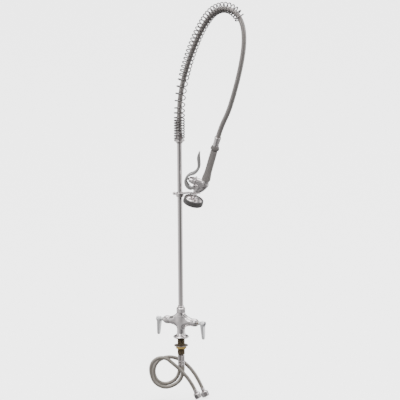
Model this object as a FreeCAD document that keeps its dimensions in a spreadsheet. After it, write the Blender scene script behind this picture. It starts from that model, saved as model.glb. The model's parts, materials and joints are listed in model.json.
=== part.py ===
import FreeCAD, Part
import math
import os
import re

import Sketcher

# A deck-mounted pre-rinse faucet: a two-handle mixing base with a threaded shank and two braided
# supply hoses, a tall swivelling riser, an overhead spring that carries the flexible hose in an
# arch, and a squeeze-lever spray valve that hangs in a fork on the riser.
#
# Millimetres, +Z up. The origin is the middle of the gasket's underside, where the faucet stands
# on the deck. Each piece is drawn in its own local frame and set in place by its Placement.

os.makedirs("parts", exist_ok=True)
doc = FreeCAD.newDocument("pre_rinse_faucet")
Vector = FreeCAD.Vector
Rotation = FreeCAD.Rotation
Placement = FreeCAD.Placement
X_AXIS = Vector(1, 0, 0)
Y_AXIS = Vector(0, 1, 0)
Z_AXIS = Vector(0, 0, 1)

# ---------------------------------------------------------------------------------------------
# Driving dimensions. Angles are in degrees, everything else in millimetres.
# ---------------------------------------------------------------------------------------------
SIZES = {
    # clearances
    "thread_gap": 0.05,        # radial, between parts that are screwed or pressed together
    "running_gap": 0.06,       # radial, between a part that turns or slides and its bore
    "seat_gap": 0.1,           # between faces that lie on each other
    "free_gap": 0.4,           # between parts that pass each other without touching
    # deck fixing
    "gasket_radius": 26,
    "gasket_height": 1.5,
    "flange_radius": 27.2,
    "flange_height": 7.5,
    "flange_rim": 2.2,
    "shank_radius": 12.8,
    "shank_bore": 10.9,
    "shank_drop": 60,          # from the deck plane down to the shank's lower end
    "shank_entry": 9,          # length screwed into the body
    "deck_thickness": 27,      # the worktop that the faucet is clamped to
    "washer_radius": 24.5,
    "washer_height": 2.5,
    "lock_nut_flats": 36,
    "lock_nut_height": 9,
    # mixing body
    "column_radius": 14.3,
    "foot_radius": 17.5,
    "foot_height": 6,
    "arm_height": 58,
    "arm_radius": 12.4,
    "arm_length": 47,          # from the middle of the body to the arm's end face
    "arm_bead": 1.1,
    "arm_bead_width": 4,
    "outlet_radius": 12.2,
    "outlet_top": 41,          # outlet's top above the arms' axis
    "shoulder_height": 26,     # where the column draws in to the outlet, above the arms' axis
    "shoulder_top": 38,        # shoulders' crown above the arms' axis
    "shoulder_foot": 30,       # shoulders' foot below the arms' axis
    "shoulder_reach": 40,
    "shoulder_sink": 3,        # the shoulders end this far inside the arms' tube
    "shoulder_half": 10.6,     # half of the shoulders' width across the arms
    "shoulder_rounding": 6,
    "arm_turn": -28,           # the arms' line, turned about the riser
    # valve cartridges and handles
    "cartridge_radius": 8.2,
    "cartridge_depth": 27,
    "cartridge_lip": 1.4,
    "cartridge_lip_width": 2.5,
    "stem_radius": 4,
    "bonnet_radius": 13.8,
    "bonnet_length": 20,
    "bonnet_nose": 8.2,
    "skirt_radius": 6.4,
    "hub_radius": 8.3,
    "hub_length": 17,
    "hub_offset": 30.5,        # from the arm's end face to the hub's inner face
    "blade_reach": 54.5,       # from the arm's axis to the blade's tip
    "blade_root_width": 15,
    "blade_tip_width": 9.5,
    "blade_root_thick": 8,
    "blade_tip_thick": 5,
    "cap_radius": 5.6,
    "cap_height": 1.8,
    "screw_radius": 2,
    "screw_head_radius": 3.6,
    "screw_head_height": 2.6,
    "screw_length": 15,
    # riser and its swivel
    "pipe_radius": 8.55,
    "pipe_bore": 6.3,
    "pipe_top": 712,
    "adapter_radius": 10.7,
    "adapter_flange": 12.1,
    "adapter_flange_height": 3,
    "seal_height": 1.5,
    "seal_bore": 8,
    "swivel_nut_flats": 30.5,
    "swivel_nut_height": 18.5,
    "swivel_nut_lip": 3.6,
    "collar_radius": 11.1,
    "collar_height": 5,
    # hook
    "plane_turn": -38,         # the upright plane that holds hook, spray valve and arch
    "clamp_height": 15,
    "clamp_middle": 13.5,      # clamp's middle below the spray valve's origin
    "clamp_wall": 4.6,
    "fork_slope": 3,
    "fork_thick": 5,
    "fork_gap": 8.8,           # half of the slot's width
    "fork_wall": 4.6,
    "fork_reach": 10,          # tines past the ball's middle
    "fork_throat": 5.5,        # slot's round end, back from the ball's middle
    "hook_arm_radius": 3.9,
    "hook_arm_height": 1.1,    # arm's highest run below the spray valve's origin
    "knob_radius": 5.6,
    "knob_reach": 25,
    "clamp_screw_radius": 2.5,
    # overhead spring and hose
    "retainer_radius": 18.6,
    "retainer_height": 4,
    "retainer_boss": 14.6,
    "retainer_boss_height": 9,
    "retainer_skirt": 7,
    "spring_radius": 17.4,     # to the middle of the wire
    "spring_wire": 1.75,       # wire radius
    "spring_chords": 12,       # straight chords in a turn
    "hose_radius": 8.2,
    "hose_nut_flats": 21,
    "hose_nut_height": 18,
    "hose_ferrule_radius": 9.3,
    "hose_ferrule_length": 14,
    "bend_share": 0.45,        # share of the shorter run that a rounded corner takes
    # spray valve, in its own frame: z up the grip's direction, x away from the squeeze lever
    "valve_reach": 68.4,       # outlet axis from the riser's axis, at the valve's origin
    "valve_height": 522.5,
    "valve_lean": 19,
    "valve_twist": 28,
    "grip_offset": 21.7,       # grip's axis from the outlet's axis
    "grip_bottom": 60,
    "grip_length": 118,
    "grip_radius": 11,
    "grip_flare_radius": 14.3,
    "grip_flare_height": 33,
    "tube_radius": 7.4,
    "tube_bore": 5.4,
    "end_collar_radius": 15.3,
    "end_collar_height": 14,
    "connector_radius": 10.1,
    "connector_height": 35,
    "connector_ring": 1.1,
    "chamber_height": 44.5,
    "chamber_radius": 13.2,
    "chamber_left": -10,
    "socket_radius": 12.4,
    "neck_radius": 6.5,
    "neck_bottom": -19,
    "neck_bore": 4,
    "ball_radius": 10.5,
    "ball_height": 9,
    "seat_port": 3.9,
    "seat_wall": 3,
    "seat_left": 4,
    "inlet_bore": 7.3,
    "outlet_bore": 6.4,
    "bonnet_flange": 17,
    "valve_bonnet_length": 25,
    "rod_radius": 2.6,
    "button_radius": 4.4,
    "button_end": -46,
    "plunger_travel": 4,
    "spring_seat_radius": 5.6,
    "return_wire": 0.6,
    "return_radius": 4.5,
    "return_turns": 7,
    "lever_pivot_x": -12.3,
    "lever_pivot_z": 19,
    "lever_thick": 3.4,
    "lever_width": 18,
    "lever_heel_width": 9.4,
    "lug_thick": 3,
    "lug_radius": 5.2,
    "pin_radius": 2,
    "pin_head": 3.4,
    "pin_head_height": 1.6,
    "disc_radius": 34.8,
    "disc_top": -20.2,
    "disc_height": 17,
    "bumper_wall": 5.4,
    "dome_rise": 9,
    "dome_wall": 2,
    "face_radius": 26.5,
    "face_thick": 2.4,
    "face_inset": 3,
    "nozzle_radius": 1.1,
    "nozzle_ring": 9,
    "nozzle_count": 9,
    # supply hoses and their fittings
    "supply_radius": 5.25,
    "supply_spacing": 6.4,     # each tail from the middle of the shank, along the arms
    "tail_radius": 4.15,
    "tail_bore": 2.6,
    "tail_top": 28,            # hose tails' tops below the arms' axis
    "crimp_top": -62,
    "crimp_radius": 5.7,
    "crimp_length": 42,
    "end_crimp_radius": 6.3,
    "end_crimp_length": 14,
    "end_neck_radius": 4.6,
    "end_flange_radius": 8.9,
    "coupling_flats": 24,
    "coupling_length": 19,
    "coupling_bore": 9.75,
    "coupling_depth": 13,
    "relief_length": 4.4,      # plain groove behind the coupling's thread, round flange and washer
    "relief_depth": 0.4,
    "coupling_washer_height": 2,
}

sheet = doc.addObject("Spreadsheet::Sheet", "Sizes")
for row, (alias, number) in enumerate(SIZES.items(), start=1):
    sheet.set(f"A{row}", alias)
    sheet.set(f"B{row}", str(number))
    sheet.setAlias(f"B{row}", alias)
doc.recompute()

ALIAS = re.compile(r"[a-z][a-z_]+")


def linked(text):
    """The expression with every size's name pointing at its cell in the sheet."""
    def with_sheet(word):
        name = word.group()
        return "Sizes." + name if name in SIZES else name

    return ALIAS.sub(with_sheet, str(text))


def size(text):
    """The number that an expression of size names comes to."""
    return float(sheet.evalExpression(str(text)))


# ---------------------------------------------------------------------------------------------
# Frames
# ---------------------------------------------------------------------------------------------
def at(x=0.0, y=0.0, z=0.0, axis=Z_AXIS, turn=0.0):
    """Placement that moves to a point and turns about an axis by degrees."""
    return Placement(Vector(x, y, z), Rotation(axis, turn))


ARM_LINE = at(turn=size("arm_turn"))
HANG_PLANE = at(turn=size("plane_turn"))
ALONG_X = Placement(Vector(), Rotation(Y_AXIS, 90))
SIDES = {"cold": at(), "hot": at(turn=180)}
VALVE_FRAME = (
    HANG_PLANE
    * at(size("valve_reach"), 0, size("valve_height"), Y_AXIS, size("valve_lean"))
    * at(turn=size("valve_twist"))
)
GRIP_FRAME = VALVE_FRAME * at(size("grip_offset"))
CHAMBER_FRAME = VALVE_FRAME * at(z=size("chamber_height")) * ALONG_X


def arm_frame(side):
    """Local z runs outwards along an arm, from the middle of the body; local x points down."""
    return ARM_LINE * SIDES[side] * at(z=size("arm_height")) * ALONG_X


# ---------------------------------------------------------------------------------------------
# Ways of making a piece
# ---------------------------------------------------------------------------------------------
nodes = {}


def keep(label, piece, place=None):
    """Name a document object as one of the faucet's pieces and set it in place."""
    piece.Label = label
    if place is not None:
        piece.Placement = place
    nodes[label] = piece
    return piece


def plane_of(body, role):
    return [feature for feature in body.Origin.OriginFeatures if feature.Role == role][0]


def new_sketch(body, name, role):
    sketch = body.newObject("Sketcher::SketchObject", name)
    sketch.AttachmentSupport = [(plane_of(body, role), "")]
    sketch.MapMode = "FlatFace"
    return sketch


def arc_between(start, end, radius):
    """Arc of a given radius between two points: bulging right of the way from start to end for a
    positive radius, and left of it for a negative one. It is always drawn anticlockwise."""
    chord = end - start
    middle = (start + end) * 0.5
    left = Vector(-chord.y, chord.x, 0).normalize()
    side = 1 if radius > 0 else -1
    sagitta = abs(radius) - math.sqrt(max(radius * radius - chord.Length**2 / 4, 0))
    crown = middle - left * side * sagitta
    return Part.Arc(start, crown, end) if radius > 0 else Part.Arc(end, crown, start)


def draw_outline(sketch, outline):
    """Closed outline of (x, y) expressions. A third entry rounds the run that ends at that point."""
    points = [Vector(size(entry[0]), size(entry[1]), 0) for entry in outline]
    count = len(points)
    starts = []
    first = sketch.GeometryCount
    for index in range(count):
        after = (index + 1) % count
        entry = outline[after]
        if len(entry) == 3:
            sketch.addGeometry(arc_between(points[index], points[after], size(entry[2])), False)
            starts.append(1 if size(entry[2]) > 0 else 2)
        else:
            sketch.addGeometry(Part.LineSegment(points[index], points[after]), False)
            starts.append(1)
    for index in range(count):
        after = (index + 1) % count
        ends = (first + index, 3 - starts[index], first + after, starts[after])
        sketch.addConstraint(Sketcher.Constraint("Coincident", *ends))
    for index, entry in enumerate(outline):
        corner = (first + index, starts[index])
        for name, value, expression, axis in (
            ("DistanceX", points[index].x, entry[0], -2),
            ("DistanceY", points[index].y, entry[1], -1),
        ):
            if str(expression) == "0":
                sketch.addConstraint(Sketcher.Constraint("PointOnObject", *corner, axis))
            else:
                number = sketch.addConstraint(Sketcher.Constraint(name, -1, 1, *corner, value))
                sketch.setExpression(f"Constraints[{number}]", linked(expression))
        after = outline[(index + 1) % count]
        if len(after) == 3:
            radius = Sketcher.Constraint("Radius", first + index, abs(size(after[2])))
            number = sketch.addConstraint(radius)
            sketch.setExpression(f"Constraints[{number}]", linked(f"abs({after[2]})"))


def turned_body(label, outline):
    """Body revolved about its own Z from a half outline of (radius, z) expressions."""
    body = doc.addObject("PartDesign::Body", label + "_body")
    sketch = new_sketch(body, label + "_outline", "XZ_Plane")
    draw_outline(sketch, outline)
    turning = body.newObject("PartDesign::Revolution", label + "_turning")
    turning.Profile = sketch
    turning.ReferenceAxis = (sketch, ["V_Axis"])
    turning.Angle = 360
    return body


def turned(label, outline, place=None):
    return keep(label, turned_body(label, outline), place)


def cylinder(radius, height, place=None):
    piece = doc.addObject("Part::Cylinder", "cylinder")
    piece.setExpression("Radius", linked(radius))
    piece.setExpression("Height", linked(height))
    piece.Placement = place or at()
    return piece


def ball(radius, place):
    piece = doc.addObject("Part::Sphere", "ball")
    piece.setExpression("Radius", linked(radius))
    piece.Placement = place
    return piece


def hexagon(across_flats, height, place=None):
    piece = doc.addObject("Part::Prism", "hexagon")
    piece.Polygon = 6
    piece.setExpression("Circumradius", linked(f"({across_flats}) / sqrt(3)"))
    piece.setExpression("Height", linked(height))
    piece.Placement = place or at()
    return piece


def joined(*pieces):
    fuse = doc.addObject("Part::MultiFuse", "joined")
    fuse.Shapes = list(pieces)
    return fuse


def cut_from(base, *tools):
    for tool in tools:
        cut = doc.addObject("Part::Cut", "cut")
        cut.Base = base
        cut.Tool = tool
        base = cut
    return base


def common_of(first, second):
    common = doc.addObject("Part::MultiCommon", "common")
    common.Shapes = [first, second]
    return common


def from_shape(shape, name="shape"):
    piece = doc.addObject("Part::Feature", name)
    piece.Shape = shape
    return piece


def nut(label, flats, height, bore, place):
    """Hexagon nut with both ends rounded off to a cone, and a plain bore."""
    corner = f"({flats}) / sqrt(3)"
    face = f"({flats}) * 0.49"
    rounding = f"({corner} - {face}) * 0.6"
    blank = turned_body(
        label + "_blank",
        [
            ("0", "0"),
            (face, "0"),
            (corner, rounding),
            (corner, f"{height} - {rounding}"),
            (face, height),
            ("0", height),
        ],
    )
    body = common_of(hexagon(flats, height), blank)
    return keep(label, cut_from(body, cylinder(bore, height)), place)


def rounded_wire(corners, radii, closed=True):
    """Wire through corner points, each corner an arc of its own radius (0 keeps it sharp)."""
    count = len(corners)
    ways_in = []
    ways_out = []
    arcs = []
    for index, corner in enumerate(corners):
        radius = radii[index]
        if radius == 0 or (not closed and index in (0, count - 1)):
            ways_in.append(corner)
            ways_out.append(corner)
            arcs.append(None)
            continue
        back = (corners[index - 1] - corner).normalize()
        ahead = (corners[(index + 1) % count] - corner).normalize()
        half = back.getAngle(ahead) / 2
        reach = radius / math.tan(half)
        inward = (back + ahead).normalize()
        enter = corner + back * reach
        leave = corner + ahead * reach
        middle = corner + inward * (radius / math.sin(half) - radius)
        ways_in.append(enter)
        ways_out.append(leave)
        arcs.append(Part.Arc(enter, middle, leave).toShape())
    edges = []
    for index in range(count):
        if arcs[index] is not None:
            edges.append(arcs[index])
        if closed or index < count - 1:
            start = ways_out[index]
            end = ways_in[(index + 1) % count]
            if start.distanceToPoint(end) > 1e-6:
                edges.append(Part.LineSegment(start, end).toShape())
    return Part.Wire(edges)


def plate(corners, radii, thickness, name="plate"):
    """Flat plate in the local XY plane, its thickness shared above and below that plane."""
    points = [Vector(x, y, -thickness / 2) for x, y in corners]
    face = Part.Face(rounded_wire(points, radii))
    return from_shape(face.extrude(Vector(0, 0, thickness)), name)


# ---------------------------------------------------------------------------------------------
# Flexible routes: straight runs joined by tangent arcs
# ---------------------------------------------------------------------------------------------
def corner_radii(points):
    """Each corner's radius: a set share of the shorter run, over the tangent of half the turn."""
    radii = [0.0]
    for before, corner, after in zip(points, points[1:], points[2:]):
        run_in = corner - before
        run_out = after - corner
        turn = run_in.getAngle(run_out)
        shorter = min(run_in.Length, run_out.Length)
        radii.append(size("bend_share") * shorter / math.tan(turn / 2))
    radii.append(0.0)
    return radii


def route_wire(points):
    return rounded_wire(points, corner_radii(points), closed=False)


def hose(label, points, radius):
    """Plain round hose along a route."""
    wire = route_wire(points)
    start = points[0]
    section = Part.Wire(Part.makeCircle(radius, start, points[1] - start))
    solid = wire.makePipeShell([section], True, False)
    radii = [round(value) for value in corner_radii(points)[1:-1]]
    expected = math.pi * radius**2 * wire.Length
    ratio = solid.Volume / expected
    print(f"{label}: length {wire.Length:.0f}, bend radii {radii}, volume ratio {ratio:.4f}")
    return keep(label, from_shape(solid, label))


def coil(centre_at, length, turns_at, radius, wire_radius, chords, ends=6):
    """Wire wound round a centre line: short straight chords of a six-sided bar, mitred together.

    centre_at gives a point, the tangent and a side direction at a distance along the centre line,
    and turns_at the number of turns made by then."""
    total = turns_at(length)
    steps = int(total * chords)
    distances = []
    distance = 0.0
    stride = length / (steps * 40)
    for step in range(steps + 1):
        target = total * step / steps
        while turns_at(distance) < target and distance < length:
            distance += stride
        distances.append(min(distance, length))
    path = []
    for step, distance in enumerate(distances):
        point, tangent, side = centre_at(distance)
        other = tangent.cross(side)
        angle = 2 * math.pi * total * step / steps
        path.append(point + side * (radius * math.cos(angle)) + other * (radius * math.sin(angle)))
    ways = [(after - before).normalize() for before, after in zip(path, path[1:])]
    point, tangent, side = centre_at(0)
    flat = (path[0] - point).normalize()
    flat = (flat - ways[0] * flat.dot(ways[0])).normalize()
    rise = ways[0].cross(flat)
    ring = []
    for index in range(ends):
        angle = 2 * math.pi * index / ends
        ring.append(path[0] + flat * (wire_radius * math.cos(angle)) + rise * (wire_radius * math.sin(angle)))
    rings = [ring]
    for index, way in enumerate(ways):
        last = index == len(ways) - 1
        normal = way if last else (way + ways[index + 1]).normalize()
        end = path[index + 1]
        ring = [corner + way * ((end - corner).dot(normal) / way.dot(normal)) for corner in rings[-1]]
        rings.append(ring)
    faces = [Part.Face(Part.makePolygon(ring + ring[:1])) for ring in (rings[0], rings[-1])]
    for near, far in zip(rings, rings[1:]):
        for index in range(ends):
            after = (index + 1) % ends
            corners = [near[index], near[after], far[after], far[index], near[index]]
            faces.append(Part.Face(Part.makePolygon(corners)))
    shell = Part.Shell(faces)
    shell.sewShape()
    solid = Part.Solid(shell)
    if solid.Volume < 0:
        solid.reverse()
    return solid


# ---------------------------------------------------------------------------------------------
# Deck fixing
# ---------------------------------------------------------------------------------------------
def make_deck_fixing():
    shank_hole = "shank_radius + free_gap"
    turned(
        "deck_gasket",
        [
            (shank_hole, "0"),
            ("gasket_radius", "0"),
            ("gasket_radius", "gasket_height"),
            (shank_hole, "gasket_height"),
        ],
    )
    flange_top = "gasket_height + flange_height"
    turned(
        "deck_flange",
        [
            (shank_hole, "gasket_height"),
            ("flange_radius", "gasket_height"),
            ("flange_radius", "gasket_height + flange_rim"),
            ("foot_radius + 2", flange_top, "flange_radius - foot_radius + 3"),
            (shank_hole, flange_top),
        ],
    )
    turned(
        "shank",
        [
            ("shank_bore", "0"),
            ("shank_radius - 1", "0"),
            ("shank_radius", "1"),
            ("shank_radius", f"shank_drop + {flange_top} + shank_entry"),
            ("shank_bore", f"shank_drop + {flange_top} + shank_entry"),
        ],
        at(z=-size("shank_drop")),
    )
    washer_top = -size("deck_thickness")
    turned(
        "shank_washer",
        [
            ("shank_radius + thread_gap", "0"),
            ("washer_radius", "0"),
            ("washer_radius", "washer_height"),
            ("shank_radius + thread_gap", "washer_height"),
        ],
        at(z=washer_top - size("washer_height")),
    )
    nut(
        "lock_nut",
        "lock_nut_flats",
        "lock_nut_height",
        "shank_radius + thread_gap",
        at(z=washer_top - size("washer_height + seat_gap + lock_nut_height")),
    )


# ---------------------------------------------------------------------------------------------
# Mixing body: one casting, with its waterways
# ---------------------------------------------------------------------------------------------
OUTLET_TOP = "arm_height + outlet_top"
TAIL_TOP = "arm_height - tail_top"


def make_faucet_body():
    foot = "gasket_height + flange_height"
    column = turned_body(
        "column",
        [
            ("0", foot),
            ("foot_radius", foot),
            ("foot_radius", f"{foot} + 1.5"),
            ("column_radius", f"{foot} + foot_height", "-(foot_height - 1)"),
            ("column_radius", "arm_height + arm_radius * 0.6"),
            ("outlet_radius", "arm_height + shoulder_height"),
            ("outlet_radius", OUTLET_TOP),
            ("0", OUTLET_TOP),
        ],
    )
    bead = "arm_radius + arm_bead"
    arms = turned_body(
        "arms",
        [
            ("0", "0"),
            (f"{bead} - 1", "0"),
            (bead, "1"),
            (bead, "arm_bead_width - arm_bead"),
            ("arm_radius", "arm_bead_width"),
            ("arm_radius", "arm_length * 2 - arm_bead_width"),
            (bead, "arm_length * 2 - arm_bead_width + arm_bead"),
            (bead, "arm_length * 2 - 1"),
            (f"{bead} - 1", "arm_length * 2"),
            ("0", "arm_length * 2"),
        ],
    )
    across = at(z=size("arm_height")) * ALONG_X
    arms.Placement = across * at(z=-size("arm_length"))
    # The shoulders are one rounded slab that runs from the column out into both arms' tubes.
    reach = size("shoulder_reach")
    middle = size("arm_height")
    end = size("arm_radius - shoulder_sink")
    corners = [
        (-reach, middle - end),
        (0, middle - size("shoulder_foot")),
        (reach, middle - end),
        (reach, middle + end),
        (0, middle + size("shoulder_top")),
        (-reach, middle + end),
    ]
    slab = Part.makePolygon([Vector(x, -size("shoulder_half"), z) for x, z in corners + corners[:1]])
    slab = Part.Face(slab).extrude(Vector(0, 2 * size("shoulder_half"), 0))
    rims = [edge for edge in slab.Edges if abs(edge.BoundBox.YMax - edge.BoundBox.YMin) < 0.1]
    shoulders = from_shape(slab.makeFillet(size("shoulder_rounding"), rims), "shoulders")
    casting = joined(column, arms, shoulders)
    tools = [
        cylinder("shank_radius + thread_gap", "shank_entry + 1", at(z=size(foot) - 1)),
        cylinder("seal_bore", "outlet_top + 6", at(z=size("arm_height") - 5)),
    ]
    pocket_start = size("arm_length - cartridge_depth")
    rise = size("tail_top")
    run = size("arm_length - cartridge_depth + cartridge_radius - supply_spacing")
    for side in SIDES.values():
        outward = side * across
        pocket_frame = outward * at(z=pocket_start)
        tools.append(cylinder("cartridge_radius + thread_gap", "cartridge_depth + 1", pocket_frame))
        tools.append(cylinder("cartridge_radius * 0.45", "arm_length", outward))
        tail = side * at(size("supply_spacing"))
        tail_hole = f"{TAIL_TOP} - ({foot})"
        tools.append(cylinder("tail_radius + thread_gap", tail_hole, tail * at(z=size(foot))))
        slant = math.degrees(math.atan2(run, rise))
        drilling = side * at(size("supply_spacing"), 0, size(TAIL_TOP) - 1, Y_AXIS, slant)
        tools.append(cylinder("tail_bore", str(math.hypot(rise, run)), drilling))
    return keep("faucet_body", cut_from(casting, *tools), ARM_LINE)


# ---------------------------------------------------------------------------------------------
# One side's cartridge, bonnet and handle
# ---------------------------------------------------------------------------------------------
def make_side(side):
    frame = arm_frame(side)
    arm_end = size("arm_length")
    stem_bore = "stem_radius + running_gap"
    lip = "cartridge_radius + cartridge_lip"
    turned(
        f"{side}_cartridge",
        [
            (stem_bore, "0"),
            ("cartridge_radius", "0"),
            ("cartridge_radius", "cartridge_depth"),
            (lip, "cartridge_depth"),
            (lip, "cartridge_depth + cartridge_lip_width"),
            (stem_bore, "cartridge_depth + cartridge_lip_width"),
        ],
        frame * at(z=arm_end - size("cartridge_depth")),
    )
    cavity = f"{lip} + thread_gap"
    cavity_end = "cartridge_lip_width + seat_gap"
    turned(
        f"{side}_bonnet",
        [
            (cavity, "0"),
            ("bonnet_radius - 0.8", "0"),
            ("bonnet_radius", "0.8"),
            ("bonnet_radius", "bonnet_length * 0.5"),
            ("bonnet_nose + 1.2", "bonnet_length - 1.5", "bonnet_length * 0.8"),
            ("bonnet_nose", "bonnet_length"),
            ("stem_radius + free_gap", "bonnet_length"),
            ("stem_radius + free_gap", cavity_end),
            (cavity, cavity_end),
        ],
        frame * at(z=arm_end + size("seat_gap")),
    )
    hub_base = arm_end + size("hub_offset")
    cap_recess = "cap_radius + thread_gap"
    screw_hole = "screw_radius + thread_gap"
    head_hole = "screw_head_radius + free_gap"
    skirt = "hub_offset - bonnet_length - 2"
    hub_top = f"{skirt} + hub_length"
    recess_floor = f"{hub_top} - cap_height - seat_gap"
    head_floor = f"{recess_floor} - screw_head_height - seat_gap"
    stem_socket = "stem_radius + thread_gap"
    hub = turned_body(
        f"{side}_hub",
        [
            (stem_socket, "0"),
            ("skirt_radius", "0"),
            ("skirt_radius", f"{skirt} - 1"),
            ("hub_radius", f"{skirt} + 1.5", "3"),
            ("hub_radius", f"{hub_top} - 1.6"),
            ("hub_radius - 1.6", hub_top, "1.6"),
            (cap_recess, hub_top),
            (cap_recess, recess_floor),
            (head_hole, recess_floor),
            (head_hole, head_floor),
            (screw_hole, head_floor),
            (screw_hole, f"{head_floor} - 3"),
            (stem_socket, f"{head_floor} - 3"),
        ],
    )
    blade_middle = size(f"{skirt} + hub_length * 0.45")
    root = size("blade_root_width") / 2
    tip = size("blade_tip_width") / 2
    reach = size("blade_reach")
    start = size("hub_radius") * 0.75
    # The blade's face is drawn in the plane across the hub's axis, and its edge view beside it.
    face_view = plate(
        [(start, -root), (reach, -tip), (reach, tip), (start, root)],
        [root * 0.6, tip * 0.98, tip * 0.98, root * 0.6],
        2 * size("hub_length"),
        "blade_face",
    )
    thick_root = size("blade_root_thick") / 2
    thick_tip = size("blade_tip_thick") / 2
    edge_view = plate(
        [(start, -thick_root), (reach, -thick_tip), (reach, thick_tip), (start, thick_root)],
        [0.5, thick_tip * 0.9, thick_tip * 0.9, 0.5],
        4 * root,
        "blade_edge",
    )
    edge_view.Placement = at(axis=X_AXIS, turn=90)
    blade = common_of(face_view, edge_view)
    blade.Placement = at(z=blade_middle)
    doc.recompute()
    handle = joined(hub, blade)
    keep(f"{side}_handle", handle, frame * at(z=hub_base - size(skirt)))
    stem_top = size(f"{head_floor} - 3 - seat_gap") + hub_base - size(skirt)
    stem_start = arm_end - size("cartridge_depth") * 0.6
    stem_length = stem_top - stem_start
    stem_bore_depth = size("screw_length") + 2 - (size("seat_gap") + 3)
    turned(
        f"{side}_stem",
        [
            ("0", "0"),
            ("stem_radius", "0"),
            ("stem_radius", str(stem_length)),
            (screw_hole, str(stem_length)),
            (screw_hole, str(stem_length - stem_bore_depth)),
            ("0", str(stem_length - stem_bore_depth)),
        ],
        frame * at(z=stem_start),
    )
    turned(
        f"{side}_handle_screw",
        [
            ("0", "0"),
            ("screw_radius", "0"),
            ("screw_radius", "screw_length"),
            ("screw_head_radius", "screw_length"),
            ("screw_head_radius", "screw_length + screw_head_height - 0.5"),
            ("screw_head_radius - 0.6", "screw_length + screw_head_height"),
            ("0", "screw_length + screw_head_height"),
        ],
        frame * at(z=hub_base + size(f"{head_floor} + seat_gap * 0.5 - screw_length") - size(skirt)),
    )
    turned(
        f"{side}_index_cap",
        [
            ("0", "0"),
            ("cap_radius", "0"),
            ("cap_radius", "cap_height * 0.7"),
            ("cap_radius * 0.2", "cap_height + 0.6", "cap_radius * 3"),
            ("0", "cap_height + 0.6"),
        ],
        frame * at(z=hub_base + size(f"{recess_floor} + seat_gap") - size(skirt)),
    )


# ---------------------------------------------------------------------------------------------
# Riser, its swivel and the finger hook
# ---------------------------------------------------------------------------------------------
def make_riser():
    seal_base = size(OUTLET_TOP)
    turned(
        "swivel_seal",
        [
            ("seal_bore", "0"),
            ("adapter_flange - 1", "0"),
            ("adapter_flange - 1", "seal_height"),
            ("seal_bore", "seal_height"),
        ],
        at(z=seal_base),
    )
    flange_base = seal_base + size("seal_height + seat_gap")
    nut_top = flange_base + size("adapter_flange_height + seat_gap + swivel_nut_lip")
    stem_top = size("adapter_flange_height + seat_gap + swivel_nut_lip + 1")
    pipe_socket = "pipe_radius + thread_gap"
    turned(
        "riser_adapter",
        [
            ("pipe_bore", "0"),
            ("adapter_flange", "0"),
            ("adapter_flange", "adapter_flange_height"),
            ("adapter_radius", "adapter_flange_height"),
            ("adapter_radius", str(stem_top)),
            (pipe_socket, str(stem_top)),
            (pipe_socket, "2"),
            ("pipe_bore", "2"),
        ],
        at(z=flange_base),
    )
    nut_base = nut_top - size("swivel_nut_height")
    lip_base = "swivel_nut_height - swivel_nut_lip"
    corner = "swivel_nut_flats / sqrt(3)"
    blank = turned_body(
        "swivel_nut_blank",
        [
            ("outlet_radius + thread_gap", "0"),
            ("swivel_nut_flats * 0.48", "0"),
            (corner, "2.2"),
            (corner, f"{lip_base} - 1"),
            ("adapter_radius + 2", "swivel_nut_height", "swivel_nut_flats * 0.32"),
            ("adapter_radius + running_gap", "swivel_nut_height"),
            ("adapter_radius + running_gap", lip_base),
            ("outlet_radius + thread_gap", lip_base),
        ],
    )
    keep("swivel_nut", common_of(hexagon("swivel_nut_flats", "swivel_nut_height"), blank), at(z=nut_base))
    collar_base = flange_base + stem_top + size("seat_gap")
    turned(
        "riser_collar",
        [
            (pipe_socket, "0"),
            ("collar_radius", "0"),
            ("collar_radius", "collar_height - 1.2"),
            ("collar_radius - 1.2", "collar_height", "1.2"),
            (pipe_socket, "collar_height"),
        ],
        at(z=collar_base),
    )
    pipe_base = flange_base + 2 + size("seat_gap")
    turned(
        "riser_pipe",
        [
            ("pipe_bore", "0"),
            ("pipe_radius", "0"),
            ("pipe_radius", f"pipe_top - {pipe_base}"),
            ("pipe_bore", f"pipe_top - {pipe_base}"),
        ],
        at(z=pipe_base),
    )


def ball_centre():
    """Middle of the spray valve's neck ball, as distance from the riser's axis and height."""
    lean = math.radians(size("valve_lean"))
    up = size("ball_height")
    return size("valve_reach") + up * math.sin(lean), size("valve_height") + up * math.cos(lean)


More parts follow.
